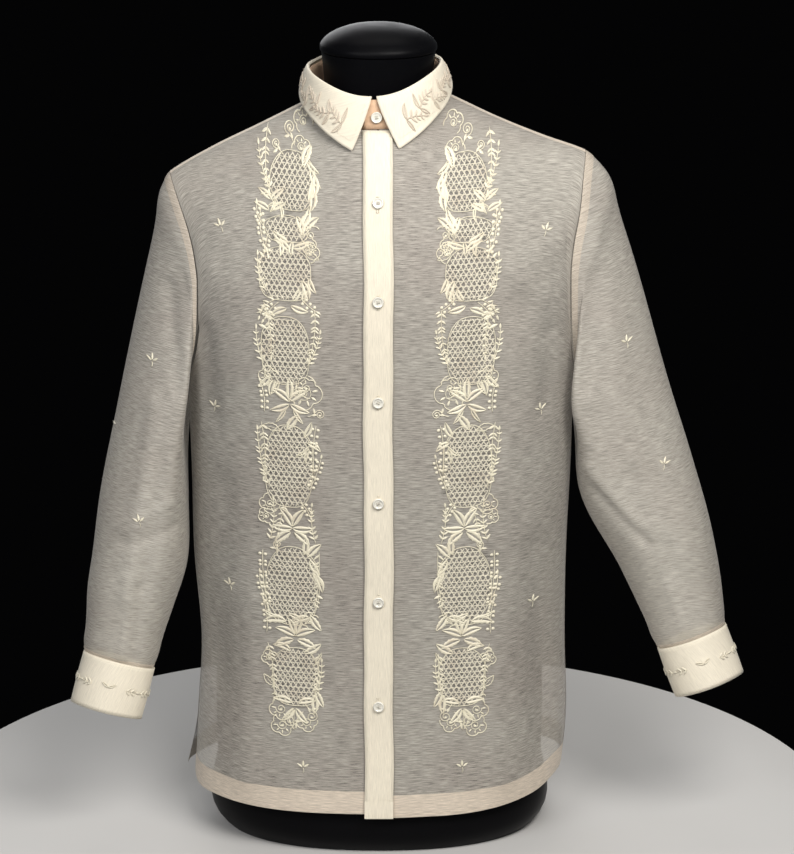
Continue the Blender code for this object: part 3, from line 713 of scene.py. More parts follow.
def raise_surface(tree, shader, height, strength, distance):
    """Give a shader fine relief."""
    inputs = {"Height": height, "Strength": strength, "Distance": distance}
    bump = add_node(tree, "ShaderNodeBump", inputs)
    tree.links.new(bump.outputs["Normal"], shader.inputs["Normal"])


def object_place(tree):
    return add_node(tree, "ShaderNodeTexCoord").outputs["Object"]


def cloth_place(tree):
    return add_node(tree, "ShaderNodeUVMap", uv_map="Cloth").outputs["UV"]


def use_group(tree, name, make, place):
    """A node of a shared group, laid out by a place."""
    group = bpy.data.node_groups.get(name) or make()
    node = add_node(tree, "ShaderNodeGroup", node_tree=group)
    tree.links.new(place, node.inputs["Vector"])
    return node


def new_group(name, inputs, outputs):
    """A shader node group with float, colour or vector sockets, and its two end nodes."""
    group = bpy.data.node_groups.new(name, "ShaderNodeTree")
    for label, kind, default in inputs:
        made = group.interface.new_socket(name=label, in_out="INPUT", socket_type=kind)
        if default is not None:
            made.default_value = default
    for label, kind in outputs:
        group.interface.new_socket(name=label, in_out="OUTPUT", socket_type=kind)
    return group, group.nodes.new("NodeGroupInput"), group.nodes.new("NodeGroupOutput")


def slubbed_weave():
    """The weave of hand-spun cloth: long slubs across it, finer threads, and soft clouds."""
    group, start, end = new_group(
        "Slubbed weave",
        (
            ("Vector", "NodeSocketVector", None),
            ("Slubs per Metre Across", "NodeSocketFloat", 66.0),
            ("Slubs per Metre Up", "NodeSocketFloat", 1400.0),
        ),
        (
            ("Slubs", "NodeSocketFloat"),
            ("Threads", "NodeSocketFloat"),
            ("Clouds", "NodeSocketFloat"),
        ),
    )
    across, up = start.outputs["Slubs per Metre Across"], start.outputs["Slubs per Metre Up"]
    place = start.outputs["Vector"]
    stretch = add_node(group, "ShaderNodeCombineXYZ", {"X": across, "Y": up, "Z": 1.0})
    drawn = stretched(group, place, stretch.outputs["Vector"])
    slubs = noise(group, drawn, 1.0, 3.0, 0.68, flat=True)
    threads = noise(group, stretched(group, place, (210.0, 1500.0, 1.0)), 1.0, 1.0, flat=True)
    clouds = noise(group, place, 9.0, flat=True)
    for label, source, low, high in (
        ("Slubs", slubs, 0.33, 0.66),
        ("Threads", threads, 0.25, 0.75),
        ("Clouds", clouds, 0.3, 0.7),
    ):
        group.links.new(spread(group, source, low, high), end.inputs[label])
    return group


def satin_threads():
    """The lie of satin stitches: fine ridges across each motif, uneven from one to the next."""
    group, start, end = new_group(
        "Satin threads",
        (("Vector", "NodeSocketVector", None), ("Stitches per Metre", "NodeSocketFloat", 1900.0)),
        (("Ridges", "NodeSocketFloat"), ("Patches", "NodeSocketFloat")),
    )
    stretch = add_node(
        group, "ShaderNodeCombineXYZ",
        {"X": start.outputs["Stitches per Metre"], "Y": 120.0, "Z": 1.0},
    )
    drawn = stretched(group, start.outputs["Vector"], stretch.outputs["Vector"])
    ridges = noise(group, drawn, 1.0, 1.0, flat=True)
    patches = noise(group, start.outputs["Vector"], 130.0, 1.0, flat=True)
    group.links.new(spread(group, ridges, 0.3, 0.7), end.inputs["Ridges"])
    group.links.new(spread(group, patches, 0.3, 0.7), end.inputs["Patches"])
    return group


def shown(obj):
    """Put an object in the scene."""
    bpy.context.scene.collection.objects.link(obj)
    return obj


def new_material(name, colour=(0.8, 0.8, 0.8), roughness=0.7, **values):
    """A material, its node tree and its Principled shader, with constants on the sockets."""
    material = bpy.data.materials.new(name)
    material.use_nodes = True
    tree = material.node_tree
    shader = tree.nodes["Principled BSDF"]
    shader.inputs["Base Color"].default_value = (*colour, 1.0)
    shader.inputs["Roughness"].default_value = roughness
    for socket, value in values.items():
        shader.inputs[socket.replace("_", " ")].default_value = value
    return material, tree, shader


def dimmed(colour, share):
    """A colour scaled towards black or above itself, with an alpha of 1."""
    return (*(min(channel * share, 1.0) for channel in colour), 1.0)


def woven_material(name, colour, tint, opacity=1.0, upright=False, slub_depth=0.2, clear=0.0):
    """Slubbed cloth; below an opacity of 1 it is sheer, and clearer where it is opened up."""
    if name in bpy.data.materials:
        return bpy.data.materials[name]
    material, tree, shader = new_material(name, colour, 0.72, Sheen_Weight=0.15)
    shader.inputs["Sheen Roughness"].default_value = 0.45
    turn = math.pi / 2 if upright else 0.0
    inputs = {"Vector": cloth_place(tree), "Rotation": (0, 0, turn)}
    laid = add_node(tree, "ShaderNodeMapping", inputs).outputs["Vector"]
    weave = use_group(tree, "Slubbed weave", slubbed_weave, laid)
    clouded = mix_colour(tree, weave.outputs["Clouds"], (*colour, 1.0), (*tint, 1.0))
    dark = add_node(tree, "ShaderNodeMix", data_type="RGBA", blend_type="MULTIPLY")
    dark.inputs[0].default_value = 1.0
    tree.links.new(clouded, dark.inputs[6])
    slubs = weave.outputs["Slubs"]
    level = spread(tree, slubs, 0.0, 1.0, 1.0 - slub_depth, 1.0 + slub_depth * 0.4)
    tree.links.new(level, dark.inputs[7])
    tree.links.new(dark.outputs[2], shader.inputs["Base Color"])
    height = calculated(tree, "ADD", slubs, weave.outputs["Threads"])
    raise_surface(tree, shader, height, 0.25, 0.0003)
    if opacity < 1.0:
        thick = spread(tree, slubs, 0.0, 1.0, opacity - slub_depth, opacity + slub_depth)
        if clear:
            mask = add_node(tree, "ShaderNodeAttribute", attribute_name="Openwork").outputs["Fac"]
            less = calculated(tree, "MULTIPLY", mask, clear)
            thick = calculated(tree, "SUBTRACT", thick, less)
        tree.links.new(thick, shader.inputs["Alpha"])
    return material


def thread_material(name, colour):
    """Satin-stitched embroidery thread."""
    if name in bpy.data.materials:
        return bpy.data.materials[name]
    material, tree, shader = new_material(name, colour, 0.42, Sheen_Weight=0.2)
    satin = use_group(tree, "Satin threads", satin_threads, cloth_place(tree))
    # Painted shade: the colour is darkened in the grooves between the satin ridges, by the same
    # ridges that raise the surface below.
    shade = mix_colour(tree, satin.outputs["Ridges"], dimmed(colour, 0.86), (*colour, 1.0))
    batches = noise(tree, object_place(tree), 34.0, 1.0)
    duller = spread(tree, batches, 0.5, 0.62, 0.0, 0.75)
    tan = tuple(channel * share for channel, share in zip(colour, (0.74, 0.68, 0.66)))
    dyed = mix_colour(tree, duller, shade, (*tan, 1.0))
    toned = mix_colour(tree, satin.outputs["Patches"], dimmed(colour, 0.88), dyed)
    tree.links.new(toned, shader.inputs["Base Color"])
    raise_surface(tree, shader, satin.outputs["Ridges"], 0.5, 0.0002)
    return material


def pearl_material():
    """Shell button with a soft, cloudy lustre."""
    if "Pearl shell" in bpy.data.materials:
        return bpy.data.materials["Pearl shell"]
    colour = (0.72, 0.7, 0.66)
    material, tree, shader = new_material("Pearl shell", colour, 0.22, Coat_Weight=0.6)
    cloud = noise(tree, object_place(tree), 260.0, 3.0, distortion=1.2)
    wave = spread(tree, cloud, 0.3, 0.7)
    pinkish = mix_colour(tree, wave, (0.82, 0.79, 0.69, 1.0), (0.62, 0.6, 0.53, 1.0))
    tree.links.new(pinkish, shader.inputs["Base Color"])
    rough = spread(tree, cloud, 0.3, 0.7, 0.16, 0.34)
    tree.links.new(rough, shader.inputs["Roughness"])
    return material


def form_material():
    """The dress form's black lacquer, with faint dust and handling marks in its gloss."""
    if "Black lacquer" in bpy.data.materials:
        return bpy.data.materials["Black lacquer"]
    material, tree, shader = new_material(
        "Black lacquer", (0.002, 0.002, 0.0025), 0.5, Specular_IOR_Level=0.06
    )
    place = object_place(tree)
    marks = noise(tree, place, 22.0, 5.0)
    rough = spread(tree, marks, 0.3, 0.7, 0.34, 0.48)
    tree.links.new(rough, shader.inputs["Roughness"])
    specks = spread(tree, noise(tree, place, 900.0, 1.0), 0.68, 0.8)
    shade = mix_colour(tree, specks, (0.002, 0.002, 0.0025, 1.0), (0.01, 0.01, 0.011, 1.0))
    tree.links.new(shade, shader.inputs["Base Color"])
    raise_surface(tree, shader, marks, 0.1, 0.0006)
    return material


# ---- flat motifs


def flat_template(form):
    """The points and faces of a flat motif as arrays: along, across and height, each in shares."""
    form.verts.index_update()
    points = np.array([tuple(vertex.co) for vertex in form.verts])
    faces = [[vertex.index for vertex in face.verts] for face in form.faces]
    form.free()
    return points, faces


def lobe_template(full=False, scallops=0.0, segments=9, ribs=3):
    """Half a veined leaf, or a whole plump petal, lying along the first direction."""
    form = bmesh.new()
    bmesh.ops.create_grid(form, x_segments=segments, y_segments=ribs, size=0.5)
    for vertex in form.verts:
        along, across = vertex.co.x + 0.5, vertex.co.y + 0.5
        outline = math.sin(math.pi * along**0.85) ** 0.75 if 0 < along < 1 else 0.0
        outline *= 1 + scallops * math.sin(2 * math.pi * 4.5 * along)
        dome = math.sin(math.pi * min(max(across, 0.0), 1.0)) ** 0.5
        gap = 0.0 if full else 0.2
        start = -0.5 if full else gap
        vertex.co = (along, (start + across * (1.0 if full else 1 - gap)) * outline, dome)
    return flat_template(form)


def berry_template():
    """A small round dome."""
    form = bmesh.new()
    bmesh.ops.create_uvsphere(form, u_segments=10, v_segments=6, radius=0.5)
    lower = [vertex for vertex in form.verts if vertex.co.z < -0.01]
    bmesh.ops.delete(form, geom=lower, context="VERTS")
    for vertex in form.verts:
        vertex.co = (vertex.co.x + 0.5, vertex.co.y, vertex.co.z * 2)
    return flat_template(form)


def heading(angle):
    return np.array((math.cos(angle), math.sin(angle)))


def end_angle(line):
    """The angle at which a line ends."""
    return math.atan2(*(line[-1] - line[-2])[::-1])


def turned_to(at, angle, along, across):
    """Flat points from their distances along and across a direction."""
    cosine, sine = math.cos(angle), math.sin(angle)
    return np.column_stack(
        (at[0] + along * cosine - across * sine, at[1] + along * sine + across * cosine)
    )


def stamp(parts, template, at, angle, length, width, height, bend=0.0, flip=1.0):
    """Lay one copy of a template at a place, along an angle, bowed sideways by a share."""
    points, faces = template
    s, t, h = points.T
    along = s * length
    across = flip * t * width + bend * length * 4 * s * (1 - s)
    flat = np.column_stack((turned_to(at, angle, along, across), h * height))
    turned = faces if flip > 0 else [face[::-1] for face in faces]
    parts.append((flat, turned, np.column_stack((along, across))))


def rope(parts, line, width, height=None, closed=False):
    """A raised cord of thread along a flat line, with tapered ends."""
    line = np.asarray(line, float)
    count = len(line)
    if count < 2:
        return
    if closed:
        direction = np.roll(line, -1, axis=0) - np.roll(line, 1, axis=0)
    else:
        direction = np.gradient(line, axis=0)
    length = np.maximum(np.linalg.norm(direction, axis=1, keepdims=True), 1e-9)
    normal = np.column_stack((-direction[:, 1], direction[:, 0])) / length
    height = height or width * 0.6
    taper = np.ones(count)
    if not closed:
        taper[0] = taper[-1] = 0.35
    half = (width / 2 * taper)[:, None]
    along = running_total(np.linalg.norm(np.diff(line, axis=0), axis=1))
    rows, maps = [], []
    for sideways, lift in ((-1.0, 0.0), (0.0, 1.0), (1.0, 0.0), (0.0, -0.3)):
        flat = line + normal * half * sideways
        rows.append(np.column_stack((flat, height * lift * taper)))
        maps.append(np.column_stack((along, np.full(count, sideways * width / 2))))
    points = np.stack(rows, axis=1).reshape(-1, 3)
    uv = np.stack(maps, axis=1).reshape(-1, 2)
    faces = []
    for i in range(count if closed else count - 1):
        j = (i + 1) % count
        for k in range(4):
            m = (k + 1) % 4
            faces.append([4 * i + k, 4 * i + m, 4 * j + m, 4 * j + k])
    if not closed:
        faces.append([3, 2, 1, 0])
        faces.append([4 * count - 4, 4 * count - 3, 4 * count - 2, 4 * count - 1])
    parts.append((points, faces, uv))


def bowed_line(at, angle, length, bend, count=12):
    """Points of a line bowed sideways by a share of its length."""
    s = np.linspace(0, 1, count)
    return turned_to(at, angle, s * length, bend * length * 4 * s * (1 - s))


def gathered(parts, mirrored):
    """The points, faces and UVs of flat parts in one list each."""
    points, faces, uvs, first = [], [], [], 0
    for flat, part_faces, uv in parts:
        points.append(flat)
        uvs.append(uv)
        for face in part_faces:
            moved = [first + i for i in face]
            faces.append(moved[::-1] if mirrored else moved)
        first += len(flat)
    return np.concatenate(points), faces, np.concatenate(uvs)


def sewn_mesh(name, laid, faces, uvs, material):
    """A finished piece from laid points; points given as None are left out with their faces."""
    gone = {number for number, point in enumerate(laid) if point is None}
    faces = [face for face in faces if not gone.intersection(face)]
    mesh = bpy.data.meshes.new(name)
    mesh.from_pydata([tuple(point or (0, 0, 0)) for point in laid], [], faces)
    corners = uvs[np.array([i for face in faces for i in face])]
    mesh.uv_layers.new(name="Cloth").data.foreach_set("uv", corners.ravel())
    form = bmesh.new()
    form.from_mesh(mesh)
    loose = [vertex for vertex in form.verts if not vertex.link_faces]
    bmesh.ops.delete(form, geom=loose, context="VERTS")
    form.to_mesh(mesh)
    form.free()
    return finished(name, mesh, material)


def lay_on(name, parts, surfaces, material, side=1.0, facing=FRONT, lift=0.0004):
    """One mesh from flat parts, laid on the nearest cloth straight behind each point."""
    flat, faces, uvs = gathered(parts, side * facing > 0)
    laid = []
    inward = Vector((0, -facing, 0))
    for x, z, height in flat:
        start = Vector((side * x, facing, z))
        hits = [surface.ray_cast(start, inward) for surface in surfaces]
        hits = [hit for hit in hits if hit[0] is not None]
        if not hits:
            laid.append(None)
            continue
        place, normal, *_ = min(hits, key=lambda hit: hit[3])
        normal = normal if normal.y * facing > 0 else -normal
        laid.append(place + normal * (height + lift))
    return sewn_mesh(name, laid, faces, uvs, material)


def line_length(line):
    return np.linalg.norm(np.diff(line, axis=0), axis=1).sum()


def mean_lengths(grid):
    """How long and how tall a grid is, on average."""
    return (
        np.linalg.norm(np.diff(grid, axis=1), axis=2).sum(axis=1).mean(),
        np.linalg.norm(np.diff(grid, axis=0), axis=2).sum(axis=0).mean(),
    )


def wrap_on(name, parts, grid, outward, material, lift=0.0004):
    """One mesh from flat parts, laid on a grid by distances along and up it."""
    flat, faces, uvs = gathered(parts, (grid_normals(grid) * outward).sum() < 0)
    rows, columns = grid.shape[:2]
    long, tall = mean_lengths(grid)
    i = np.clip(flat[:, 1] / tall, 0, 1) * (rows - 1)
    j = np.clip(flat[:, 0] / long, 0, 1) * (columns - 1)
    low, left = np.minimum(i.astype(int), rows - 2), np.minimum(j.astype(int), columns - 2)
    up, along = (i - low)[:, None], (j - left)[:, None]

    def at(field):
        lower = field[low, left] * (1 - along) + field[low, left + 1] * along
        upper = field[low + 1, left] * (1 - along) + field[low + 1, left + 1] * along
        return lower * (1 - up) + upper * up

    laid = at(grid) + at(outward) * (flat[:, 2:] + lift)
    return sewn_mesh(name, [Vector(point) for point in laid], faces, uvs, material)


def surface_of(obj):
    """A tree for finding places on a finished piece of cloth."""
    form = bmesh.new()
    form.from_mesh(obj.data)
    tree = BVHTree.FromBMesh(form)
    form.free()
    return tree


# ---- the embroidered panel

MEDALLIONS = (
    # distance from the middle, height, half width and half height of each openwork ground
    (0.087, 0.716, 0.023, 0.027), (0.093, 0.672, 0.022, 0.012), (0.094, 0.629, 0.027, 0.026),
    (0.094, 0.552, 0.025, 0.035), (0.091, 0.43, 0.025, 0.044), (0.0885, 0.3, 0.0275, 0.043),
    (0.086, 0.2, 0.025, 0.032),
)
MEDALLION_POWER = 2.5
PANEL_EDGES = (0.055, 0.126)
BETWEEN = (
    # motif, distance from the middle and height in mm, angle from outward, length in mm, bend
    ("shell", 72, 762, 60, 20, 0), ("scroll", 85, 748, 50, 22, 0),
    ("scallop", 68, 750, -70, 22, 0.08), ("leaf", 64, 724, -84, 22, -0.08),
    ("leaf", 70, 700, 100, 19, 0.08), ("fern", 113, 762, -92, 54, 0.05),
    ("leaf", 108, 698, 36, 17, 0.06), ("leaf", 108, 698, 140, 17, -0.06),
    ("leaf", 110, 688, 24, 17, 0.06), ("leaf", 108, 688, 152, 17, -0.06),
    ("scallop", 69, 688, -60, 20, 0.06), ("scallop", 82, 685, -110, 19, -0.06),
    ("berries", 119, 690, -96, 34, 0.06), ("shell", 60, 666, 20, 20, 0),
    ("leaf", 86, 656, 160, 18, 0.08), ("leaf", 90, 660, 30, 19, -0.08),
    ("open", 74, 654, 210, 17, 0.05), ("berries", 100, 602, -50, 24, 0.06),
    ("leaf", 88, 599, 196, 19, 0.08), ("leaf", 92, 596, -26, 18, 0.08),
    ("leaf", 86, 604, 120, 15, 0.06), ("scallop", 70, 606, 70, 20, 0.06),
    ("fern", 116, 602, -98, 56, -0.05), ("fern", 64, 596, -84, 50, -0.05),
    ("leaf", 90, 500, 34, 22, 0.08), ("leaf", 90, 500, 146, 22, -0.08),
    ("leaf", 90, 497, -20, 21, -0.08), ("leaf", 89, 497, 202, 21, 0.08),
    ("scallop", 90, 505, 88, 20, 0.04), ("blade", 86, 492, 236, 18, 0.06),
    ("blade", 94, 492, -56, 18, -0.06), ("shell", 64, 512, 20, 22, 0),
    ("shell", 105, 520, 40, 20, 0), ("scroll", 72, 485, 160, 19, 0),
    ("berries", 116, 486, 84, 32, 0.06), ("fern", 119, 476, -92, 58, -0.04),
    ("berries", 63, 476, -88, 54, 0.04), ("leaf", 88, 366, 56, 23, 0.08),
    ("leaf", 88, 366, 124, 23, -0.08), ("leaf", 88, 364, 4, 22, -0.08),
    ("leaf", 88, 364, 178, 22, 0.08), ("scallop", 90, 360, -40, 22, 0.06),
    ("scallop", 86, 360, 222, 21, -0.06), ("fern", 112, 348, 96, 44, 0.05),
    ("fern", 64, 348, 84, 40, -0.05), ("shell", 108, 374, 10, 17, 0),
    ("berries", 119, 338, -94, 60, 0.03), ("comb", 61, 340, -86, 56, -0.03),
    ("leaf", 86, 246, 20, 22, 0.08), ("leaf", 86, 246, 160, 22, -0.08),
    ("leaf", 86, 248, 66, 19, 0.06), ("leaf", 86, 248, 114, 19, -0.06),
    ("scallop", 88, 242, -24, 22, 0.05), ("scallop", 84, 242, 204, 21, -0.05),
    ("shell", 64, 260, 30, 18, 0), ("berries", 116, 246, 86, 36, 0.05),
    ("fern", 115, 236, -96, 60, -0.04), ("comb", 62, 228, -84, 46, -0.04),
    ("shell", 70, 160, -60, 22, 0), ("shell", 97, 156, -70, 24, 0),
    ("leaf", 86, 166, 232, 20, 0.08), ("leaf", 88, 166, -48, 20, -0.08),
    ("open", 87, 164, -88, 22, 0.05), ("scroll", 76, 152, -20, 24, 0),
    ("leaf", 90, 172, 8, 20, 0.08), ("leaf", 84, 172, 170, 19, -0.08),
)
AROUND = (
    # medallion, motif, clock angle on its outline, turn from straight out, length in mm, bend
    (0, "shell", 350, 10, 23, 0), (0, "scroll", 22, -30, 20, 0), (0, "leaf", 318, 45, 20, 0.1),
    (0, "leaf", 296, 78, 24, 0.12), (0, "scallop", 262, 84, 25, -0.08),
    (0, "fern", 112, 84, 52, -0.06), (0, "blade", 122, 34, 17, 0.1),
    (0, "blade", 128, -34, 18, -0.1), (0, "blade", 146, 30, 16, 0.1),
    (0, "blade", 150, -44, 17, -0.1), (1, "berries", 96, 70, 30, -0.12),
    (1, "berries", 118, -40, 22, 0.1), (1, "scallop", 300, -20, 20, 0.08),
    (1, "scallop", 276, 12, 22, -0.08), (1, "shell", 236, -6, 21, 0),
    (1, "leaf", 196, 16, 17, 0.1), (1, "leaf", 168, -10, 18, -0.1), (2, "leaf", 352, -70, 23, 0.08),
    (2, "shell", 312, 0, 24, 0), (2, "drop", 40, 20, 9, 0), (2, "drop", 56, 10, 9, 0),
    (2, "drop", 72, 0, 9, 0), (2, "fern", 138, 74, 44, -0.08), (2, "leaf", 268, 60, 20, 0.1),
    (2, "leaf", 240, 66, 17, 0.1), (2, "comb", 172, 70, 34, 0.14),
    (2, "berries", 214, -14, 26, 0.06), (3, "berries", 20, -24, 20, 0.08),
    (3, "fern", 112, 78, 44, -0.06), (3, "drop", 50, -10, 11, 0), (3, "fern", 246, -84, 46, 0.06),
    (3, "leaf", 140, 34, 23, -0.1), (3, "leaf", 158, -18, 22, 0.1), (3, "blade", 168, 12, 22, -0.1),
    (3, "scroll", 204, 20, 22, 0), (3, "shell", 200, -26, 44, 0),
    (4, "open", 18, -40, 22, 0.06), (4, "scallop", 2, 44, 25, -0.05),
    (4, "leaf", 322, -30, 22, 0.08), (4, "leaf", 308, 30, 20, -0.1),
    (4, "blade", 296, 120, 20, 0.1), (4, "blade", 300, 160, 20, -0.1),
    (4, "fern", 120, 76, 74, -0.04), (4, "berries", 236, -78, 46, 0.04),
    (4, "fern", 176, 4, 40, 0.04), (4, "berries", 204, 8, 22, -0.06),
    (4, "shell", 146, -10, 26, 0), (5, "scroll", 34, 30, 20, 0),
    (5, "scallop", 334, -40, 22, 0.05), (5, "scallop", 326, 40, 25, -0.06),
    (5, "leaf", 318, 92, 24, 0.08), (5, "leaf", 296, 36, 23, 0.1), (5, "leaf", 286, 84, 24, -0.08),
    (5, "berries", 118, 72, 42, -0.1), (5, "drop", 262, 20, 9, 0), (5, "drop", 254, 20, 6, 0),
    (5, "drop", 247, 20, 6, 0), (5, "leaf", 196, 150, 19, 0.08),
    (5, "scallop", 218, 120, 24, 0.05), (5, "scallop", 222, -30, 24, 0.04),
    (5, "scallop", 168, 60, 28, 0.12), (5, "blade", 148, 64, 20, -0.1),
    (6, "scallop", 340, 46, 25, 0.05), (6, "leaf", 8, -60, 24, 0.14),
    (6, "fern", 238, -72, 44, 0.06), (6, "blade", 300, -34, 18, 0.04), (6, "shell", 62, 0, 21, 0),
    (6, "open", 108, 62, 20, -0.06), (6, "shell", 158, 0, 30, 0),
    (6, "scallop", 246, 10, 23, 0.05), (6, "scallop", 232, 56, 24, -0.05),
    (6, "scroll", 200, -16, 28, 0),
)
NET_PITCH = 0.0054
NET_THREAD = 0.0013
STEM_WIDTH = 0.001
LEAFLET = 0.0062
AROUND_DEPTH = 0.1
AROUND_SIZE = 0.82
SPRIGS = (
    # distance to the wearer's left, height, angle in degrees: single sprigs away from the panel
    (-0.16, 0.668, 112), (-0.168, 0.481, 80), (-0.154, 0.29, 100), (-0.079, 0.101, 90),
    (0.17, 0.664, 70), (0.166, 0.48, 98), (0.16, 0.27, 84), (0.087, 0.101, 92),
    (-0.233, 0.524, 86), (-0.247, 0.362, 100), (-0.28, 0.446, 80), (0.256, 0.54, 96),
    (0.296, 0.412, 78),
)
BACK_SPRIGS = (
    # distance to the wearer's left, height, angle in degrees
    (-0.145, 0.66, 105), (-0.05, 0.665, 80), (0.052, 0.662, 100), (0.148, 0.664, 75),
    (-0.1, 0.57, 95), (0.001, 0.568, 84), (0.102, 0.572, 100), (-0.156, 0.478, 85),
    (-0.052, 0.475, 98), (0.05, 0.479, 82), (0.154, 0.476, 96), (-0.103, 0.38, 90),
    (0.002, 0.384, 100), (0.101, 0.381, 80), (-0.155, 0.286, 96), (-0.05, 0.288, 84),
    (0.053, 0.285, 102), (0.154, 0.289, 86), (-0.101, 0.192, 88), (0.001, 0.19, 97),
    (0.102, 0.193, 84), (-0.052, 0.105, 95), (0.051, 0.104, 86), (-0.242, 0.54, 90),
    (-0.256, 0.38, 100), (0.256, 0.53, 84), (0.286, 0.378, 92),
)


def outline_point(medallion, clock):
    """A point of a medallion's outline, and its outward angle."""
    out, up, wide, tall = medallion
    sine, cosine = math.sin(clock), math.cos(clock)
    x = math.copysign(wide * abs(sine) ** (2 / MEDALLION_POWER), sine)
    z = math.copysign(tall * abs(cosine) ** (2 / MEDALLION_POWER), cosine)
    return (out + x, up + z), math.atan2(z * wide / tall, x * tall / wide)


def inside_share(medallion, points):
    """Below 1 where points lie inside a medallion."""
    out, up, wide, tall = medallion
    x, z = np.abs(points[..., 0] - out) / wide, np.abs(points[..., 1] - up) / tall
    return x**MEDALLION_POWER + z**MEDALLION_POWER


def openwork_mask(grid):
    """How open the cloth's ground is at each point of a front, from 0 to 1."""
    flat = np.stack((np.abs(grid[..., 0]), grid[..., 2]), axis=-1)
    shares = [inside_share(medallion, flat) for medallion in MEDALLIONS]
    return np.clip((1.15 - np.minimum.reduce(shares)) / 0.3, 0, 1)


def sew_leaf(satin, cords, at, angle, length, bend, kind):
    """A leaf in two satin halves with a bare vein between them."""
    wide = length * {"leaf": 0.19, "blade": 0.13, "scallop": 0.21}[kind]
    template = TEMPLATES["scalloped half" if kind == "scallop" else "half"]
    for flip in (1.0, -1.0):
        stamp(satin, template, at, angle, length, wide, 0.0008, bend, flip)


def sew_open_leaf(satin, cords, at, angle, length, bend, kind):
    """A leaf drawn only by its outline and a half vein."""
    for flip in (1.0, -1.0):
        s = np.linspace(0, 1, 15)
        across = flip * 0.2 * length * np.sin(math.pi * s**0.9) * (1 + 0.1 * np.sin(28 * s))
        across += bend * length * 4 * s * (1 - s)
        rope(cords, turned_to(at, angle, s * length, across), 0.0011)
    rope(cords, bowed_line(at, angle, length * 0.7, bend, 8), 0.0006)


def sew_drop(satin, cords, at, angle, length, bend, kind):
    stamp(satin, TEMPLATES["whole"], at, angle, length, length * 0.42, 0.0009, bend)


def sew_stem(satin, cords, at, angle, length, bend, kind):
    """A stem with leaflets or berries in pairs, or leaflets down one side."""
    line = bowed_line(at, angle, length, bend, 16)
    rope(cords, line, STEM_WIDTH)
    pairs = max(int(length / LEAFLET), 3)
    for number in range(1, pairs + 1):
        share = number / (pairs + 0.6)
        spot = line[min(int(share * 15), 14)]
        ahead = line[min(int(share * 15) + 1, 15)]
        way = math.atan2(*(ahead - spot)[::-1])
        scale = 1.0 - 0.45 * share
        for turn in (1.0, -1.0):
            if kind == "comb" and turn < 0:
                continue
            if kind == "berries":
                off = way + turn * 1.2
                stamp(satin, TEMPLATES["berry"], spot + heading(off) * 0.0012, off,
                      0.0037 * (0.75 + 0.25 * scale), 0.0034, 0.001)
            else:
                stamp(satin, TEMPLATES["whole"], spot, way + turn * 0.85,
                      LEAFLET * scale * (1.35 if kind == "comb" else 1.1), 0.0026 * scale, 0.0008)
    stamp(satin, TEMPLATES["whole"], line[-1], end_angle(line), 0.0055, 0.0024, 0.0008)


def sew_shell(satin, cords, at, angle, length, bend, kind):
    """A shell flower: a fan of pointed scallops round a curl, drawn in cord."""
    centre = np.array(at) + length * 0.42 * heading(angle)
    rim = []
    for t in np.linspace(-2.3, 2.3, 46):
        lobe = abs(math.sin(t * 2.05))
        radius = length * (0.36 + 0.15 * lobe**0.6)
        rim.append(centre + radius * heading(angle + t))
    rope(cords, rim, 0.0013)
    turns = np.linspace(0, 3.4 * math.pi, 34)
    radii = length * (0.035 + 0.19 * turns / turns[-1])
    spin = angle + math.pi + turns
    curl = centre + (radii * np.array((np.cos(spin), np.sin(spin)))).T
    rope(cords, curl, 0.001)
    for t in (-1.1, -0.35, 0.35, 1.1):
        start = centre + length * 0.23 * heading(angle + t)
        stamp(satin, TEMPLATES["whole"], start, angle + t, length * 0.17, length * 0.07, 0.0008)
    stamp(satin, TEMPLATES["berry"], centre - 0.0012, 0.0, 0.0028, 0.0028, 0.001)


def sew_scroll(satin, cords, at, angle, length, bend, kind):
    """A tendril that runs out and curls up on itself, with two buds."""
    turns = np.linspace(0, 1, 34)
    stem = bowed_line(at, angle, length * 0.55, 0.12, 10)
    way = end_angle(stem)
    radius = length * 0.26 * (1 - 0.78 * turns)
    spin = way - math.pi / 2 + turns * 3.3 * math.pi
    hub = stem[-1] - radius[0] * heading(spin[0])
    curl = hub + (radius * np.array((np.cos(spin), np.sin(spin)))).T
    rope(cords, np.concatenate((stem, curl[1:])), 0.0011)
    stamp(satin, TEMPLATES["berry"], hub - 0.0012, 0.0, 0.0026, 0.0026, 0.001)
    for share, turn in ((4, 0.8), (7, -0.8)):
        stamp(satin, TEMPLATES["whole"], stem[share], way + turn, 0.0058, 0.0026, 0.0008)


SEWN = {
    "leaf": sew_leaf, "blade": sew_leaf, "scallop": sew_leaf, "open": sew_open_leaf,
    "drop": sew_drop, "fern": sew_stem, "berries": sew_stem, "comb": sew_stem,
    "shell": sew_shell, "scroll": sew_scroll,
}
TEMPLATES = {}


def make_templates():
    TEMPLATES["half"] = lobe_template()
    TEMPLATES["scalloped half"] = lobe_template(scallops=0.1, segments=18)
    TEMPLATES["whole"] = lobe_template(full=True, segments=7)
    TEMPLATES["berry"] = berry_template()


def kept_inside(at, way, length):
    """The angle, turned towards upright as far as a motif needs to stay inside the panel."""
    low, high = PANEL_EDGES
    upright = math.copysign(math.pi / 2, math.sin(way))
    for step in range(12):
        turned = way + (upright - math.remainder(way, 2 * math.pi)) * step / 12
        if low < at[0] + length * math.cos(turned) < high:
            return turned
    return upright


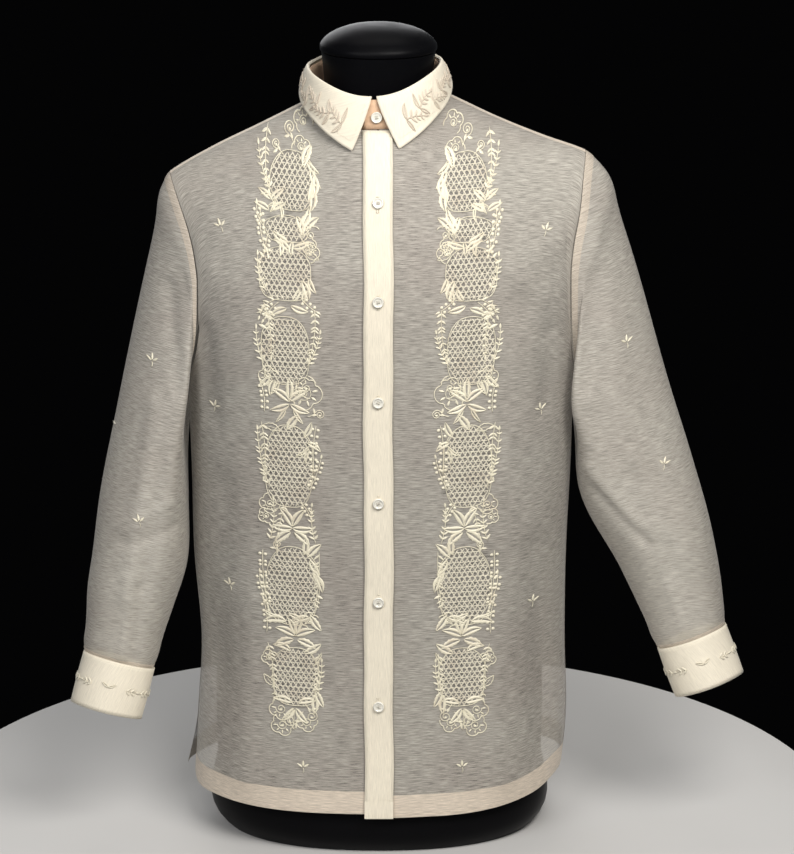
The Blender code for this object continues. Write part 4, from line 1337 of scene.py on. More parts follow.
def panel_parts():
    """The satin, the cords and the net of one half of the embroidered panel."""
    satin, cords, net = [], [], []
    for number, kind, clock, turn, length, bend in AROUND:
        at, out = outline_point(MEDALLIONS[number], math.radians(clock))
        at = (np.array(at) + AROUND_DEPTH * np.array(MEDALLIONS[number][:2])) / (1 + AROUND_DEPTH)
        way = kept_inside(at, out + math.radians(turn), length / 1000)
        SEWN[kind](satin, cords, at, way, length * AROUND_SIZE / 1000, bend, kind)
    for kind, out, up, turn, length, bend in BETWEEN:
        at, length = (out / 1000, up / 1000), length / 1000
        way = kept_inside(at, math.radians(turn), length)
        SEWN[kind](satin, cords, at, way, length, bend, kind)
    for medallion in MEDALLIONS:
        clocks = np.linspace(0, 2 * math.pi, 73)[:-1]
        rim = np.array([outline_point(medallion, clock)[0] for clock in clocks])
        wave = np.column_stack((np.sin(clocks * 3 + medallion[1] * 90), np.cos(clocks * 4)))
        rim += 0.0008 * wave
        rope(cords, rim, 0.001, closed=True)
        net += net_parts(medallion)
    return satin, cords, net


def net_parts(medallion):
    """The drawn-thread net of a medallion: level threads and two slanting sets."""
    parts = []
    out, up, wide, tall = medallion
    reach = math.hypot(wide, tall)
    for angle, pitch, width in (
        (0.0, NET_PITCH, NET_THREAD * 0.8),
        (math.radians(58), NET_PITCH * 0.85, NET_THREAD),
        (math.radians(-58), NET_PITCH * 0.85, NET_THREAD),
    ):
        way = heading(angle)
        normal = np.array((-way[1], way[0]))
        for k in range(-int(reach / pitch) - 1, int(reach / pitch) + 2):
            s = np.arange(-reach, reach, 0.0021)
            sway = 0.00035 * np.sin(s / NET_PITCH * 2 * math.pi + k * math.pi)
            line = np.array((out, up)) + s[:, None] * way + (k * pitch + sway)[:, None] * normal
            runs = np.flatnonzero(inside_share(medallion, line) < 1.0)
            if len(runs) > 2:
                rope(parts, line[runs[0]:runs[-1] + 1], width, 0.0005)
    return parts


def sprig_parts(angle):
    """A small sprig of three petals on a short stem, standing at the origin."""
    satin, cords, angle = [], [], math.radians(angle)
    for turn, length in ((0.0, 0.007), (0.95, 0.0062), (-0.95, 0.0062)):
        start = 0.0012 * heading(angle + turn)
        stamp(satin, TEMPLATES["whole"], start, angle + turn, length, length * 0.36, 0.0008)
    rope(cords, bowed_line((0, 0), angle + math.pi, 0.0058, 0.12, 6), 0.0008)
    return satin + cords


# ---- the pieces' own surfaces


def panel(side, facing):
    """The creased grid of one half of the front or the back."""
    name = f"front_{WORDS[side]}" if facing == FRONT else "back"
    grid = panel_grid(side, facing, first_x=FRONT_EDGE if facing == FRONT else 0.0)
    return creased(name, grid, faced_out(grid, grid_normals(grid)))


def measured_panel(side, facing):
    """A half's grid, and its distances on the cloth to each side of the middle."""
    grid = panel(side, facing)
    return grid, cloth_measures(grid) * np.array((side, 1.0))


def sleeve(side):
    """The creased grid of a sleeve."""
    grid = sleeve_grid(side)
    middle = side * SLEEVES[side][1][1]
    normals = faced_out(grid, grid_normals(grid, closed=True), middle)
    return creased(f"sleeve_{WORDS[side]}", grid, normals)


def edge_band(grid, width, steps=6):
    """The strip of a grid beside its first row, of one width along every column."""
    lengths = np.linalg.norm(np.diff(grid, axis=0), axis=2)
    along = np.concatenate((lengths[:1] * 0, np.cumsum(lengths, axis=0)))
    column = np.arange(grid.shape[1])
    rows = []
    for wanted in np.linspace(0, width, steps):
        i = np.clip((along < wanted).sum(axis=0) - 1, 0, len(grid) - 2)
        share = (wanted - along[i, column]) / (along[i + 1, column] - along[i, column])
        rows.append(grid[i, column] + share[:, None] * (grid[i + 1, column] - grid[i, column]))
    return np.array(rows)


def moved_off(grid, distance, closed=False, centre_x=0.0):
    """A grid moved along its own outward normals."""
    return grid + faced_out(grid, grid_normals(grid, closed), centre_x) * distance


def cuff_grid(side, around=132, rows=13):
    """A cuff's band from its bottom edge up, whose ends lap at the back of the wrist."""
    top, bottom, _, out, ahead = cuff_directions(side)
    share = np.linspace(0, 1, around + 1)
    turn = CUFF_LAP_TURN + (2 * math.pi + 2 * CUFF_OVERLAP) * share - CUFF_OVERLAP
    radius = CUFF_RADIUS + CUFF_LAP * (share - 0.5)
    spoke = np.sin(turn)[:, None] * ahead + np.cos(turn)[:, None] * out
    ring = spoke * radius[:, None]
    ring += spoke * (0.0005 * np.sin(3 * turn + side) + 0.0004 * np.sin(5 * turn))[:, None]
    up = np.linspace(0, 1, rows)[:, None, None]
    return bottom + (top - bottom) * up + ring * (1 + 0.012 * np.sin(math.pi * up))


def stand_grid(around=120, rows=6):
    """The collar stand's band, whose front ends lap with the wearer's left one on top."""
    grid = []
    for share in np.linspace(0, 1, rows):
        row = []
        for turn in np.linspace(-COLLAR_LAP, 2 * math.pi + COLLAR_LAP, around + 1):
            point = neck_ring_point(turn, share)
            way_round = (turn + COLLAR_LAP) / (2 * math.pi + 2 * COLLAR_LAP)
            outward = Vector((point.x, point.y, 0)).normalized()
            row.append(point + outward * (STAND_LAP * (0.5 - way_round) - STAND_INSET))
        grid.append(row)
    return np.array(grid)


def fall_grid(around=150, rows=26):
    """The fall from its lower edge up, over the fold and down to the stand's top edge."""
    keyed = [(key, *row) for key, row in enumerate(FALL_PROFILE)]
    keys = np.concatenate((np.linspace(0, 2, 9)[:-1], np.linspace(2, 5, rows - 8)))
    profile = smooth_columns(keyed, keys)
    grid = []
    for share, out, up in profile[::-1]:
        share = min(max(share, 0.0), 1.0)
        front = FALL_TOP_TURN + (FALL_POINT_TURN - FALL_TOP_TURN) * share
        row = []
        for turn in np.linspace(front, 2 * math.pi - front, around + 1):
            top = neck_ring_point(turn, 1.0)
            outward = Vector((top.x, top.y, 0)).normalized()
            top += outward * out
            top.z += up
            row.append(top.lerp(fall_edge_point(turn), share))
        grid.append(row)
    return np.array(grid)


def front_middle(x, heights):
    """Points up the fronts at a small distance from the middle, where the placket lies."""
    side = WEARER_LEFT if x >= 0 else WEARER_RIGHT
    angles = angle_at(x, heights)
    rise = (heights - UNDERARM_HEIGHT) / (crest_height(np.array(x)) - UNDERARM_HEIGHT)
    upper = body_point(angles, np.maximum(rise, 0), side, FRONT)
    lower = section_point(angles, heights, side, FRONT)
    points = np.where((heights <= UNDERARM_HEIGHT)[:, None], lower, upper)
    points[:, 1] -= SEAM_SHIFT
    return points


def placket_grid(rows=181, columns=7):
    """The placket from its foot up: the middle of the fronts, moved out."""
    heights = np.linspace(HEM_HEIGHT, NECK_FRONT_HEIGHT - PLACKET_TOP_GAP, rows)
    across = np.linspace(-PLACKET_WIDTH / 2, PLACKET_WIDTH / 2, columns)
    grid = np.stack([front_middle(x, heights) for x in across], axis=1)
    normals = faced_out(grid, grid_normals(grid))
    normals[..., 0] = 0
    normals /= np.linalg.norm(normals, axis=2, keepdims=True)
    grid += normals * PLACKET_LIFT
    sway = 0.0005 * np.sin(heights * 23) + 0.0004 * np.sin(heights * 61 + 1)
    grid[..., 0] += sway[:, None]
    grid[0, :, 2] -= PLACKET_DROP
    return grid


# ---- stitches, holes and buttons


def stitches(parts, line, pitch=0.003, width=0.00045):
    """A row of small running stitches along a flat line."""
    line = np.asarray(line, float)
    along = running_total(np.linalg.norm(np.diff(line, axis=0), axis=1))
    for start in np.arange(pitch * 0.2, along[-1] - pitch * 0.7, pitch):
        ends = np.array((start, start + pitch * 0.68))
        points = np.column_stack([np.interp(ends, along, line[:, k]) for k in (0, 1)])
        rope(parts, points, width, width * 0.5)


def buttonhole(parts, at, tall=0.015, gap=0.001, width=0.0011):
    """Two upright satin bars round a slit, with a bar tack across each end."""
    x, z = at
    for off in (-gap, gap):
        rope(parts, [(x + off, z - tall / 2), (x + off, z), (x + off, z + tall / 2)], width)
    for end in (-tall / 2, tall / 2):
        rope(parts, [(x - gap * 1.8, z + end), (x, z + end), (x + gap * 1.8, z + end)], width)


BUTTON_PROFILE = (
    # share of the radius, share of the thickness, from the back's edge to the dish's floor
    (0.8, 0.0), (0.93, 0.08), (1.0, 0.28), (1.0, 0.66), (0.96, 0.88), (0.88, 1.0), (0.76, 0.97),
    (0.66, 0.78), (0.6, 0.66),
)
BUTTON_HOLE_RADIUS = 0.00085
BUTTON_HOLE_SPACING = 0.0013


def make_button(name, node, place, facing, turn):
    """A pierced shell button with a dished face, and the matrix that places it."""
    form = bmesh.new()
    loops = []
    for wide, high in BUTTON_PROFILE:
        ring = bmesh.ops.create_circle(form, segments=40, radius=wide * BUTTON_RADIUS)
        bmesh.ops.translate(form, verts=ring["verts"], vec=(0, 0, high * BUTTON_THICKNESS))
        loops.append(ring["verts"])
    loop_edges = [edges_of(loop) for loop in loops]
    for low, high in zip(loop_edges, loop_edges[1:]):
        bmesh.ops.bridge_loops(form, edges=low + high)
    bmesh.ops.edgeloop_fill(form, edges=loop_edges[0])
    floor = BUTTON_PROFILE[-1][1] * BUTTON_THICKNESS
    rims = list(loop_edges[-1])
    for corner in range(4):
        way = math.radians(45 + 90 * corner)
        hole = bmesh.ops.create_circle(form, segments=12, radius=BUTTON_HOLE_RADIUS)["verts"]
        middle = (BUTTON_HOLE_SPACING * math.cos(way), BUTTON_HOLE_SPACING * math.sin(way), floor)
        bmesh.ops.translate(form, verts=hole, vec=middle)
        rim = edges_of(hole)
        rims += rim
        deeper = bmesh.ops.extrude_edge_only(form, edges=rim)["geom"]
        deep = [part for part in deeper if isinstance(part, bmesh.types.BMVert)]
        bmesh.ops.translate(form, verts=deep, vec=(0, 0, -0.6 * floor))
        bmesh.ops.edgeloop_fill(form, edges=edges_within(deep))
    bmesh.ops.triangle_fill(form, use_beauty=True, use_dissolve=False, edges=rims)
    bmesh.ops.recalc_face_normals(form, faces=form.faces)
    turned = Vector((0, 0, 1)).rotation_difference(facing).to_matrix().to_4x4()
    placed = Matrix.Translation(place) @ turned @ Matrix.Rotation(turn, 4, "Z")
    bmesh.ops.transform(form, matrix=placed, verts=form.verts)
    button = settled(name, form, pearl_material())
    button.data.set_sharp_from_angle(angle=math.radians(40))
    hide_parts(node)
    return button, placed


def make_button_threads(name, places):
    """Two bridges of thread over the holes of every button, in one piece."""
    form = bmesh.new()
    for placed in places:
        for side in (-1, 1):
            for strand in (-0.35, 0.35):
                at = side * BUTTON_HOLE_SPACING * math.sin(math.radians(45))
                arch = bmesh.ops.create_circle(form, segments=6, radius=0.00032)["verts"]
                floor = BUTTON_PROFILE[-1][1] * BUTTON_THICKNESS
                centre = Vector((at + strand * BUTTON_HOLE_RADIUS, 0, floor - 0.0004))
                start = Matrix.Translation(centre + Vector((0, BUTTON_HOLE_SPACING * 0.8, 0)))
                bmesh.ops.transform(form, matrix=placed @ start, verts=arch)
                faces = bmesh.ops.edgeloop_fill(form, edges=edges_of(arch))["faces"]
                bmesh.ops.spin(
                    form, geom=faces, cent=placed @ centre, steps=10, angle=math.pi,
                    axis=placed.to_3x3() @ Vector((1, 0, 0)), use_duplicate=False,
                )
    bmesh.ops.recalc_face_normals(form, faces=form.faces)
    return settled(name, form, thread_material("Button thread", (0.7, 0.66, 0.56)))


# ---- settings


def colour_setting(name, description, default):
    return bpy.props.FloatVectorProperty(
        name=name, description=description, subtype="COLOR", size=3, default=default,
        min=0.0, max=1.0,
    )


def length_setting(name, description, default, low, high):
    return bpy.props.FloatProperty(
        name=name, description=description, default=default, min=low, max=high, unit="LENGTH",
    )


class BarongSettings(bpy.types.PropertyGroup):
    cloth_colour: colour_setting(
        "Sheer cloth", "Colour of the sheer cloth's threads", (0.56, 0.525, 0.455)
    )
    cloth_tint: colour_setting(
        "Sheer cloth, clouds", "Colour that clouds the sheer cloth softly", (0.5, 0.455, 0.395)
    )
    cloth_opacity: bpy.props.FloatProperty(
        name="Closeness", description="How much of what lies behind the sheer cloth it hides",
        default=0.62, min=0.0, max=1.0, subtype="FACTOR",
    )
    stiff_colour: colour_setting(
        "Cuffs and placket", "Colour of the close-woven cream cloth", (0.8, 0.73, 0.585)
    )
    stand_colour: colour_setting(
        "Collar stand", "Colour of the stand's peach lining cloth", (0.66, 0.44, 0.28)
    )
    turned_colour: colour_setting(
        "Turned edges", "Colour of the doubled cloth of hems and seams", (0.72, 0.62, 0.5)
    )
    thread_colour: colour_setting(
        "Embroidery", "Colour of the embroidery thread", (0.84, 0.78, 0.6)
    )
    net_colour: colour_setting(
        "Openwork", "Colour of the openwork's drawn threads", (0.8, 0.74, 0.59)
    )
    hem_depth: length_setting(
        "Hem depth", "Height of the turned hem", 0.025, 0.005, 0.06
    )
    vent_edge: length_setting(
        "Vent edge", "Width of the turned edges of the side vents", 0.007, 0.002, 0.02
    )
    armhole_edge: length_setting(
        "Armhole seam", "Width of the doubled cloth round the armholes", 0.01, 0.002, 0.02
    )
    floor_radius: length_setting(
        "Floor radius", "Radius of the round studio floor", 0.5, 0.3, 5.0
    )
    floor_colour: colour_setting(
        "Floor", "Colour of the studio floor", (0.55, 0.54, 0.52)
    )


def settings():
    return bpy.context.scene.barong


def sheer_cloth():
    values = settings()
    return woven_material(
        "Sheer cloth", values.cloth_colour, values.cloth_tint, values.cloth_opacity,
        slub_depth=0.17, clear=0.22,
    )


def plain_cloth(name, colour, share, opacity=1.0, upright=False, slub_depth=0.12):
    """Cloth of one colour, clouded with a darker tone of it."""
    return woven_material(name, colour, dimmed(colour, share)[:3], opacity, upright, slub_depth)


def turned_cloth():
    return plain_cloth("Turned cloth", settings().turned_colour, 0.9, 0.85)


def seam_cloth():
    return plain_cloth("Seam cloth", settings().turned_colour, 0.9, 0.5)


def cream_cloth():
    return plain_cloth("Cream cloth", settings().stiff_colour, 0.93, upright=True)


def white_thread():
    return thread_material("Embroidery thread", settings().thread_colour)


def net_thread():
    return thread_material("Net thread", settings().net_colour)


def cream_thread():
    return thread_material("Cream thread", (0.8, 0.74, 0.58))


def tone_thread():
    return thread_material("Tone thread", (0.66, 0.57, 0.45))


def stiff_piece(name, grid):
    """A piece of the stiff cream cloth, with a wall's thickness."""
    return cloth_piece(name, [(grid, cloth_measures(grid))], cream_cloth(), wall=CLOTH_WALL)


def trim(name, grid, offset, closed=False, centre_x=0.0, material=None):
    """A band of doubled cloth that lies a little off the cloth it is turned from."""
    share = np.minimum(np.arange(len(grid)), 1.0)[:, None, None]
    band = grid + (moved_off(grid, offset, closed, centre_x) - grid) * share
    measures = cloth_measures(band, closed)
    return cloth_piece(name, [(band, measures)], material or turned_cloth(), closed)


LIGHTS = (
    # name, place, aim, size, power in watts, colour
    ("key_light", (0.7, -1.55, 1.95), (0, 0, 0.46), (1.3, 0.9), 56.0, (1.0, 0.975, 0.95)),
    ("fill_light", (-1.3, -2.4, 1.9), (0, 0, 0.5), (1.4, 1.4), 42.0, (0.98, 0.98, 1.0)),
    ("top_light", (0.0, 0.5, 2.6), (0, 0, 0.6), (1.4, 1.0), 7.0, (1.0, 0.98, 0.95)),
    ("back_light", (-0.5, 2.6, 1.5), (0, 0, 0.4), (2.0, 1.6), 26.0, (0.98, 0.98, 1.0)),
)
CAMERA_PLACE = (0.019, -3.8353, 1.5696)
CAMERA_TILT = math.radians(73.5)
CAMERA_LENS = 160.2


# ---- operators


class BARONG_OT_form(bpy.types.Operator):
    """Make the smooth black torso and the cap on its neck"""

    bl_idname = "barong.form"
    bl_label = "Dress form"

    def execute(self, context):
        lacquer = form_material()
        heights = np.concatenate((np.linspace(0.0, 0.004, 4)[:-1], np.linspace(0.004, 0.836, 100)))
        rings = [
            level_ring(height, *smooth_columns(FORM_SECTIONS, np.array(height)), 112, FORM_POWER)
            for height in heights
        ]
        torso = loft("torso", rings, lacquer)
        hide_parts("form_torso")
        neck_width, front, back = FORM_SECTIONS[-1][1:]
        deeper = CAP_HALF_WIDTH - neck_width
        keyed = [(key, *row) for key, row in enumerate(CAP_PROFILE)]
        rings = []
        for share, up in smooth_columns(keyed, np.linspace(0, len(keyed) - 1, 46)):
            rings.append(level_ring(
                CAP_BASE_HEIGHT + up, CAP_HALF_WIDTH * share, (front + deeper) * share,
                (back + deeper) * share, 96, CAP_POWER,
            ))
        cap = loft("neck_cap", rings, lacquer)
        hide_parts("form_cap")
        for piece in (torso, cap):
            piece.data.set_sharp_from_angle(angle=math.radians(60))
        return {"FINISHED"}


class BARONG_OT_fronts(bpy.types.Operator):
    """Make the two fronts, with their openwork grounds thinned"""

    bl_idname = "barong.fronts"
    bl_label = "Fronts"

    def execute(self, context):
        for side, word in WORDS.items():
            grid, measures = measured_panel(side, FRONT)
            front = cloth_piece(
                f"{word}_front", [(grid, measures)], sheer_cloth(), masks=[openwork_mask(grid)]
            )
            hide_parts(f"front_{word}")
        return {"FINISHED"}


class BARONG_OT_back(bpy.types.Operator):
    """Make the back in one piece"""

    bl_idname = "barong.back"
    bl_label = "Back"

    def execute(self, context):
        halves = [measured_panel(side, BACK) for side in WORDS]
        masks = [np.zeros(grid.shape[:2]) for grid, _ in halves]
        back = cloth_piece("back_cloth", halves, sheer_cloth(), masks=masks)
        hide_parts("back")
        return {"FINISHED"}


class BARONG_OT_sleeves(bpy.types.Operator):
    """Make the two long sleeves"""

    bl_idname = "barong.sleeves"
    bl_label = "Sleeves"

    def execute(self, context):
        for side, word in WORDS.items():
            grid = sleeve(side)
            piece = cloth_piece(
                f"{word}_sleeve", [(grid, cloth_measures(grid, closed=True))],
                sheer_cloth(), closed=True, masks=[np.zeros(grid.shape[:2])],
            )
            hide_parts(f"sleeve_{word}")
        return {"FINISHED"}


class BARONG_OT_cuffs(bpy.types.Operator):
    """Make the cuffs, their stitching and their small line of embroidery"""

    bl_idname = "barong.cuffs"
    bl_label = "Cuffs"

    def execute(self, context):
        for side, word in WORDS.items():
            grid = cuff_grid(side)
            cuff = stiff_piece(f"{word}_cuff", grid)
            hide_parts(f"cuff_{word}")
            top, bottom, *_ = cuff_directions(side)
            outward = grid - (bottom + (top - bottom) * np.linspace(0, 1, len(grid))[:, None, None])
            outward /= np.linalg.norm(outward, axis=2, keepdims=True)
            long = line_length(grid[0])
            tall = np.linalg.norm(top - bottom)
            rows = []
            for height in (EDGE_STITCH, tall - EDGE_STITCH):
                stitches(rows, [(0.002, height), (long - 0.002, height)])
            end = long - EDGE_STITCH
            stitches(rows, [(end, 0.002), (end, tall - 0.002)])
            wrap_on(f"{word}_cuff_stitches", rows, grid, outward, cream_thread(), STITCH_LIFT)
            satin, cords = [], []
            middle = long * 0.551
            for k in range(-6, 7):
                at = np.array((middle + k * 0.0185, tall * 0.5))
                if k == 0:
                    for way in (0.5, math.pi - 0.5):
                        sew_leaf(satin, cords, at, way, 0.0085, 0.0, "leaf")
                    stamp(satin, TEMPLATES["berry"], at - (0.0015, -0.001), 0, 0.003, 0.003, 0.0009)
                    continue
                lean = math.pi if k < 0 else 0.0
                rope(cords, bowed_line(at, lean, 0.013, 0.05, 8), 0.0008)
                for share, turn in (
                    (0.1, 0.8), (0.1, -0.8), (0.5, 0.75), (0.5, -0.75), (0.95, 0.0)
                ):
                    spot = at + (share * 0.013 * math.cos(lean), 0)
                    stamp(satin, TEMPLATES["whole"], spot, lean + turn, 0.0055, 0.0024, 0.0008)
            wrap_on(f"{word}_cuff_embroidery", satin + cords, grid, outward, cream_thread(), 0.001)
        return {"FINISHED"}


class BARONG_OT_placket(bpy.types.Operator):
    """Make the placket with its stitched edges, turned foot and upright buttonholes"""

    bl_idname = "barong.placket"
    bl_label = "Placket"

    def execute(self, context):
        grid = placket_grid()
        placket = stiff_piece("front_placket", grid)
        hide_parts("placket")
        outward = faced_out(grid, grid_normals(grid))
        tall = line_length(grid[:, 3])
        low, high = grid[0, 3, 2], grid[-1, 3, 2]
        rows, holes = [], []
        for off in (EDGE_STITCH, PLACKET_WIDTH - EDGE_STITCH):
            stitches(rows, [(off, 0.002), (off, tall - 0.002)])
        for height in (FOOT_TURN, 0.0018):
            stitches(rows, [(0.003, height), (PLACKET_WIDTH - 0.003, height)])
        for height in BUTTON_HEIGHTS:
            buttonhole(holes, (PLACKET_WIDTH / 2, (height - low) / (high - low) * tall))
        wrap_on("placket_stitches", rows, grid, outward, cream_thread(), STITCH_LIFT)
        wrap_on("buttonholes", holes, grid, outward, cream_thread(), STITCH_LIFT)
        trim("placket_foot", edge_band(moved_off(grid, 0.0006), FOOT_TURN, 8), 0.0003,
             material=cream_cloth())
        return {"FINISHED"}


class BARONG_OT_collar(bpy.types.Operator):
    """Make the collar's stand and fall, with the fall's stitching and tone-on-tone leaves"""

    bl_idname = "barong.collar"
    bl_label = "Collar"

    def execute(self, context):
        grid = stand_grid()
        colour = settings().stand_colour
        peach = plain_cloth("Stand cloth", colour, 0.9, upright=True, slub_depth=0.1)
        stand = cloth_piece("neck_stand", [(grid, cloth_measures(grid))], peach, wall=0.0007)
        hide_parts("collar_stand")
        grid = fall_grid()
        fall = stiff_piece("turned_collar", grid)
        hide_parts("collar_fall")
        normals = grid_normals(grid)
        facing_out = (normals[:6] * faced_out(grid, normals)[:6]).sum() > 0
        outward = normals if facing_out else -normals
        long, tall = mean_lengths(grid)
        rows, satin, cords = [], [], []
        edge = 0.005
        end, top = long - edge, tall * 0.66
        stitches(rows, [(edge, top), (edge, edge), (end, edge), (end, top)])
        wrap_on("collar_stitches", rows, grid, outward, cream_thread(), STITCH_LIFT)
        sprays = 24
        for k in range(sprays):
            outward_way = 0.0 if k < sprays / 2 else math.pi
            share = (k + (outward_way > 0)) / sprays
            height = tall * (0.33 + 0.03 * math.sin(k * 2.1))
            at = np.array((0.02 + share * (long - 0.04), height))
            lean = (0.3 if k % 2 else -0.24) * math.cos(outward_way)
            sew_stem(satin, cords, at, outward_way + lean, 0.0175, 0.07, "fern")
            sew_leaf(satin, cords, at, outward_way + lean + 1.25, 0.0105, 0.05, "leaf")
            sew_leaf(satin, cords, at, outward_way + lean - 1.15, 0.0095, 0.05, "leaf")
        wrap_on("collar_embroidery", satin + cords, grid, outward, tone_thread(), 0.0009)
        return {"FINISHED"}


class BARONG_OT_buttons(bpy.types.Operator):
    """Make the buttons of the placket, the collar and the cuffs, and sew them on"""

    bl_idname = "barong.buttons"
    bl_label = "Buttons"

    def execute(self, context):
        places = []
        for number, height in enumerate(BUTTON_HEIGHTS, start=1):
            low, middle, high = front_middle(
                0.0, np.array((height - BUTTON_RADIUS, height, height + BUTTON_RADIUS))
            )
            facing = -Vector(high - low).cross(Vector((1, 0, 0))).normalized()
            place = Vector(middle) + facing * (PLACKET_LIFT + 0.0009)
            places.append((f"shell_button_{number}", f"button_{number}", place, facing))
        foot, top = neck_ring_point(0.0), neck_ring_point(0.0, 1.0)
        facing = -(top - foot).cross(Vector((1, 0, 0))).normalized()
        place = foot.lerp(top, COLLAR_BUTTON_SHARE) + facing * (STAND_LAP / 2 + 0.0009)
        places.append(("shell_button_collar", "button_collar", place, facing))
        for side, word in WORDS.items():
            top, bottom, _, out, ahead = cuff_directions(side)
            facing = Vector(ahead * math.sin(CUFF_LAP_TURN) + out * math.cos(CUFF_LAP_TURN))
            place = Vector((top + bottom) / 2) + facing * (CUFF_RADIUS + CUFF_LAP / 2 + 0.0012)
            places.append((f"shell_button_cuff_{word}", f"button_cuff_{word}", place, facing))
        placed = []
        for turn, (name, node, place, facing) in enumerate(places):
            placed.append(make_button(name, node, place, facing, 0.4 * math.sin(turn * 2.3))[1])
        make_button_threads("button_threads", placed)
        return {"FINISHED"}


class BARONG_OT_seams(bpy.types.Operator):
    """Make the turned hems and vents, and the seams of the sides, shoulders and armholes"""

    bl_idname = "barong.seams"
    bl_label = "Hems and seams"

    def execute(self, context):
        values = settings()
        vented = (VENT_TOP - HEM_HEIGHT) / (UNDERARM_HEIGHT - HEM_HEIGHT)
        vent_rows = 1 + int(round(vented * BODY_ROWS))
        for side, word in WORDS.items():
            for facing, place in ((FRONT, "front"), (BACK, "back")):
                grid = panel(side, facing)
                trim(f"{place}_hem_{word}", edge_band(grid, values.hem_depth, 7), -facing * 0.0004)
                edge = grid[: vent_rows + 1, ::-1].transpose(1, 0, 2)
                trim(f"{place}_vent_{word}", edge_band(edge, values.vent_edge, 4), -facing * 0.0004)
                edge = grid[vent_rows:BODY_ROWS + 1, ::-1].transpose(1, 0, 2)
                trim(f"{place}_side_seam_{word}", edge_band(edge, 0.0045, 4), 0.0004)
                trim(f"{place}_shoulder_seam_{word}", edge_band(grid[::-1], 0.0055, 4), 0.0004)
            grid = sleeve(side)
            middle = side * SLEEVES[side][1][1]
            trim(f"armhole_seam_{word}", edge_band(grid, values.armhole_edge, 5), 0.0005,
                 closed=True, centre_x=middle, material=seam_cloth())
            trim(f"cuff_seam_{word}", edge_band(grid[::-1], 0.004, 3), 0.0004,
                 closed=True, centre_x=middle)
        return {"FINISHED"}


class BARONG_OT_embroidery(bpy.types.Operator):
    """Sew the leaves, flowers, stems and openwork nets of the fronts"""

    bl_idname = "barong.embroidery"
    bl_label = "Embroidery"

    def execute(self, context):
        satin, cords, net = panel_parts()
        for side, word in WORDS.items():
            surfaces = [surface_of(bpy.data.objects[f"{word}_front"])]
            lay_on(f"embroidery_{word}", satin + cords, surfaces, white_thread(), side)
            lay_on(f"openwork_{word}", net, surfaces, net_thread(), side, lift=0.0002)
        return {"FINISHED"}


class BARONG_OT_sprigs(bpy.types.Operator):
    """Scatter the small three-petal sprigs over the fronts, back and sleeves"""

    bl_idname = "barong.sprigs"
    bl_label = "Sprigs"

    def execute(self, context):
        names = ("right_front", "left_front", "right_sleeve", "left_sleeve", "back_cloth")
        for word, facing, table, cloths in (
            ("front", FRONT, SPRIGS, names[:4]), ("back", BACK, BACK_SPRIGS, names[2:])
        ):
            surfaces = [surface_of(bpy.data.objects[name]) for name in cloths]
            for number, (x, z, angle) in enumerate(table, start=1):
                parts = [(flat + (x, z, 0), *rest) for flat, *rest in sprig_parts(angle)]
                lay_on(f"sprig_{word}_{number}", parts, surfaces, white_thread(), facing=facing)
        return {"FINISHED"}


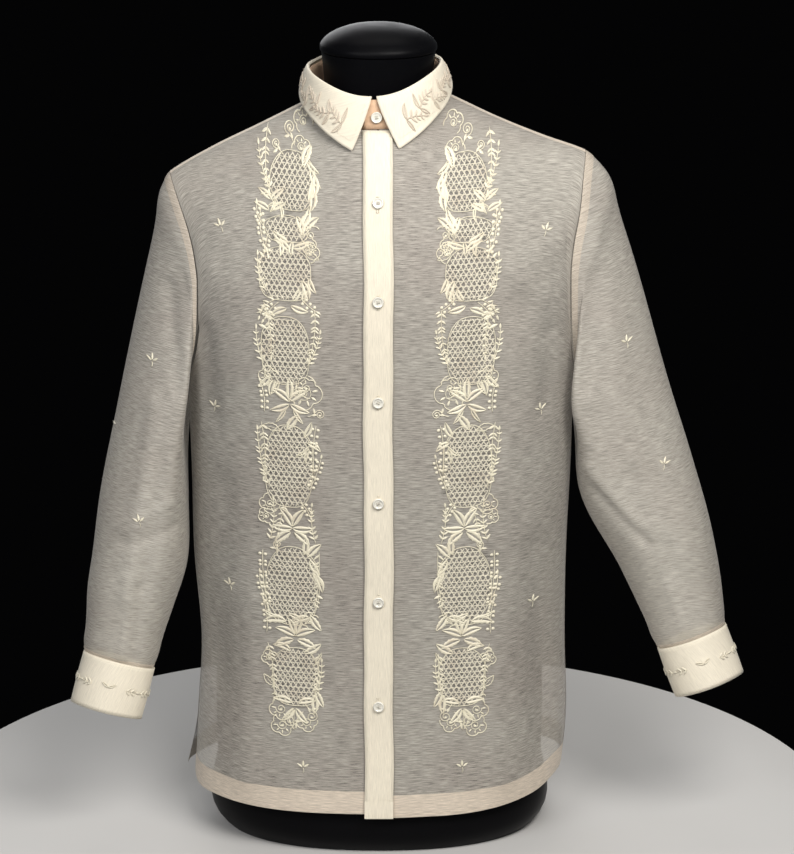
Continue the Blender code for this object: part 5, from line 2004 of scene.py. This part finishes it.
class BARONG_OT_stage(bpy.types.Operator):
    """Set up the round pale floor, the soft lights, the dark room and the camera"""

    bl_idname = "barong.stage"
    bl_label = "Studio"

    def execute(self, context):
        scene = context.scene
        values = settings()
        form = bmesh.new()
        disc = bmesh.ops.create_circle(
            form, cap_ends=True, segments=160, radius=values.floor_radius
        )
        bmesh.ops.translate(form, verts=disc["verts"], vec=(0, 0, -0.0005))
        mesh = bpy.data.meshes.new("floor")
        form.to_mesh(mesh)
        form.free()
        material, tree, shader = new_material("Studio floor", values.floor_colour, 0.85)
        cloud = noise(tree, object_place(tree), 3.0)
        plain, dim = (*values.floor_colour, 1.0), dimmed(values.floor_colour, 0.92)
        shade = mix_colour(tree, cloud, plain, dim)
        tree.links.new(shade, shader.inputs["Base Color"])
        mesh.materials.append(material)
        floor = shown(bpy.data.objects.new("floor", mesh))

        for name, place, aim, size, power, colour in LIGHTS:
            lamp = bpy.data.lights.new(name, "AREA")
            lamp.shape = "RECTANGLE"
            lamp.size, lamp.size_y = size
            lamp.energy = power
            lamp.color = colour
            light = shown(bpy.data.objects.new(name, lamp))
            light.location = place
            light.rotation_euler = (Vector(aim) - Vector(place)).to_track_quat("-Z", "Y").to_euler()

        world = bpy.data.worlds.new("Dark room")
        world.use_nodes = True
        tree = world.node_tree
        tree.nodes.clear()
        seen = add_node(tree, "ShaderNodeBackground", {"Color": (0.0012, 0.0012, 0.0013, 1.0)})
        soft = add_node(
            tree, "ShaderNodeBackground", {"Color": (0.9, 0.95, 1.0, 1.0), "Strength": 0.1}
        )
        straight = add_node(tree, "ShaderNodeLightPath").outputs["Is Camera Ray"]
        mixed = add_node(tree, "ShaderNodeMixShader", {0: straight})
        tree.links.new(soft.outputs[0], mixed.inputs[1])
        tree.links.new(seen.outputs[0], mixed.inputs[2])
        end = add_node(tree, "ShaderNodeOutputWorld")
        tree.links.new(mixed.outputs[0], end.inputs["Surface"])
        scene.world = world
        scene.view_settings.view_transform = "Standard"

        lens = bpy.data.cameras.new("camera")
        lens.lens = CAMERA_LENS
        lens.sensor_width = 36.0
        camera = shown(bpy.data.objects.new("camera", lens))
        camera.location = CAMERA_PLACE
        camera.rotation_euler = (CAMERA_TILT, 0, 0)
        scene.camera = camera
        return {"FINISHED"}


OPERATORS = (
    BARONG_OT_form, BARONG_OT_fronts, BARONG_OT_back, BARONG_OT_sleeves, BARONG_OT_cuffs,
    BARONG_OT_placket, BARONG_OT_collar, BARONG_OT_buttons, BARONG_OT_seams,
    BARONG_OT_embroidery, BARONG_OT_sprigs, BARONG_OT_stage,
)


class BARONG_PT_panel(bpy.types.Panel):
    """The shirt's settings and the steps that make it"""

    bl_idname = "BARONG_PT_panel"
    bl_label = "Barong Tagalog Shirt"
    bl_space_type = "VIEW_3D"
    bl_region_type = "UI"
    bl_category = "Barong"

    def draw(self, context):
        for name in BarongSettings.__annotations__:
            self.layout.prop(context.scene.barong, name)
        for operator in OPERATORS:
            self.layout.operator(operator.bl_idname)


CLASSES = (BarongSettings, *OPERATORS, BARONG_PT_panel)


def register():
    for one in CLASSES:
        bpy.utils.register_class(one)
    bpy.types.Scene.barong = bpy.props.PointerProperty(type=BarongSettings)


def unregister():
    del bpy.types.Scene.barong
    for one in reversed(CLASSES):
        bpy.utils.unregister_class(one)


def main():
    register()
    make_templates()
    for operator in OPERATORS:
        getattr(bpy.ops.barong, operator.bl_idname.split(".")[1])()


if __name__ == "__main__":
    main()
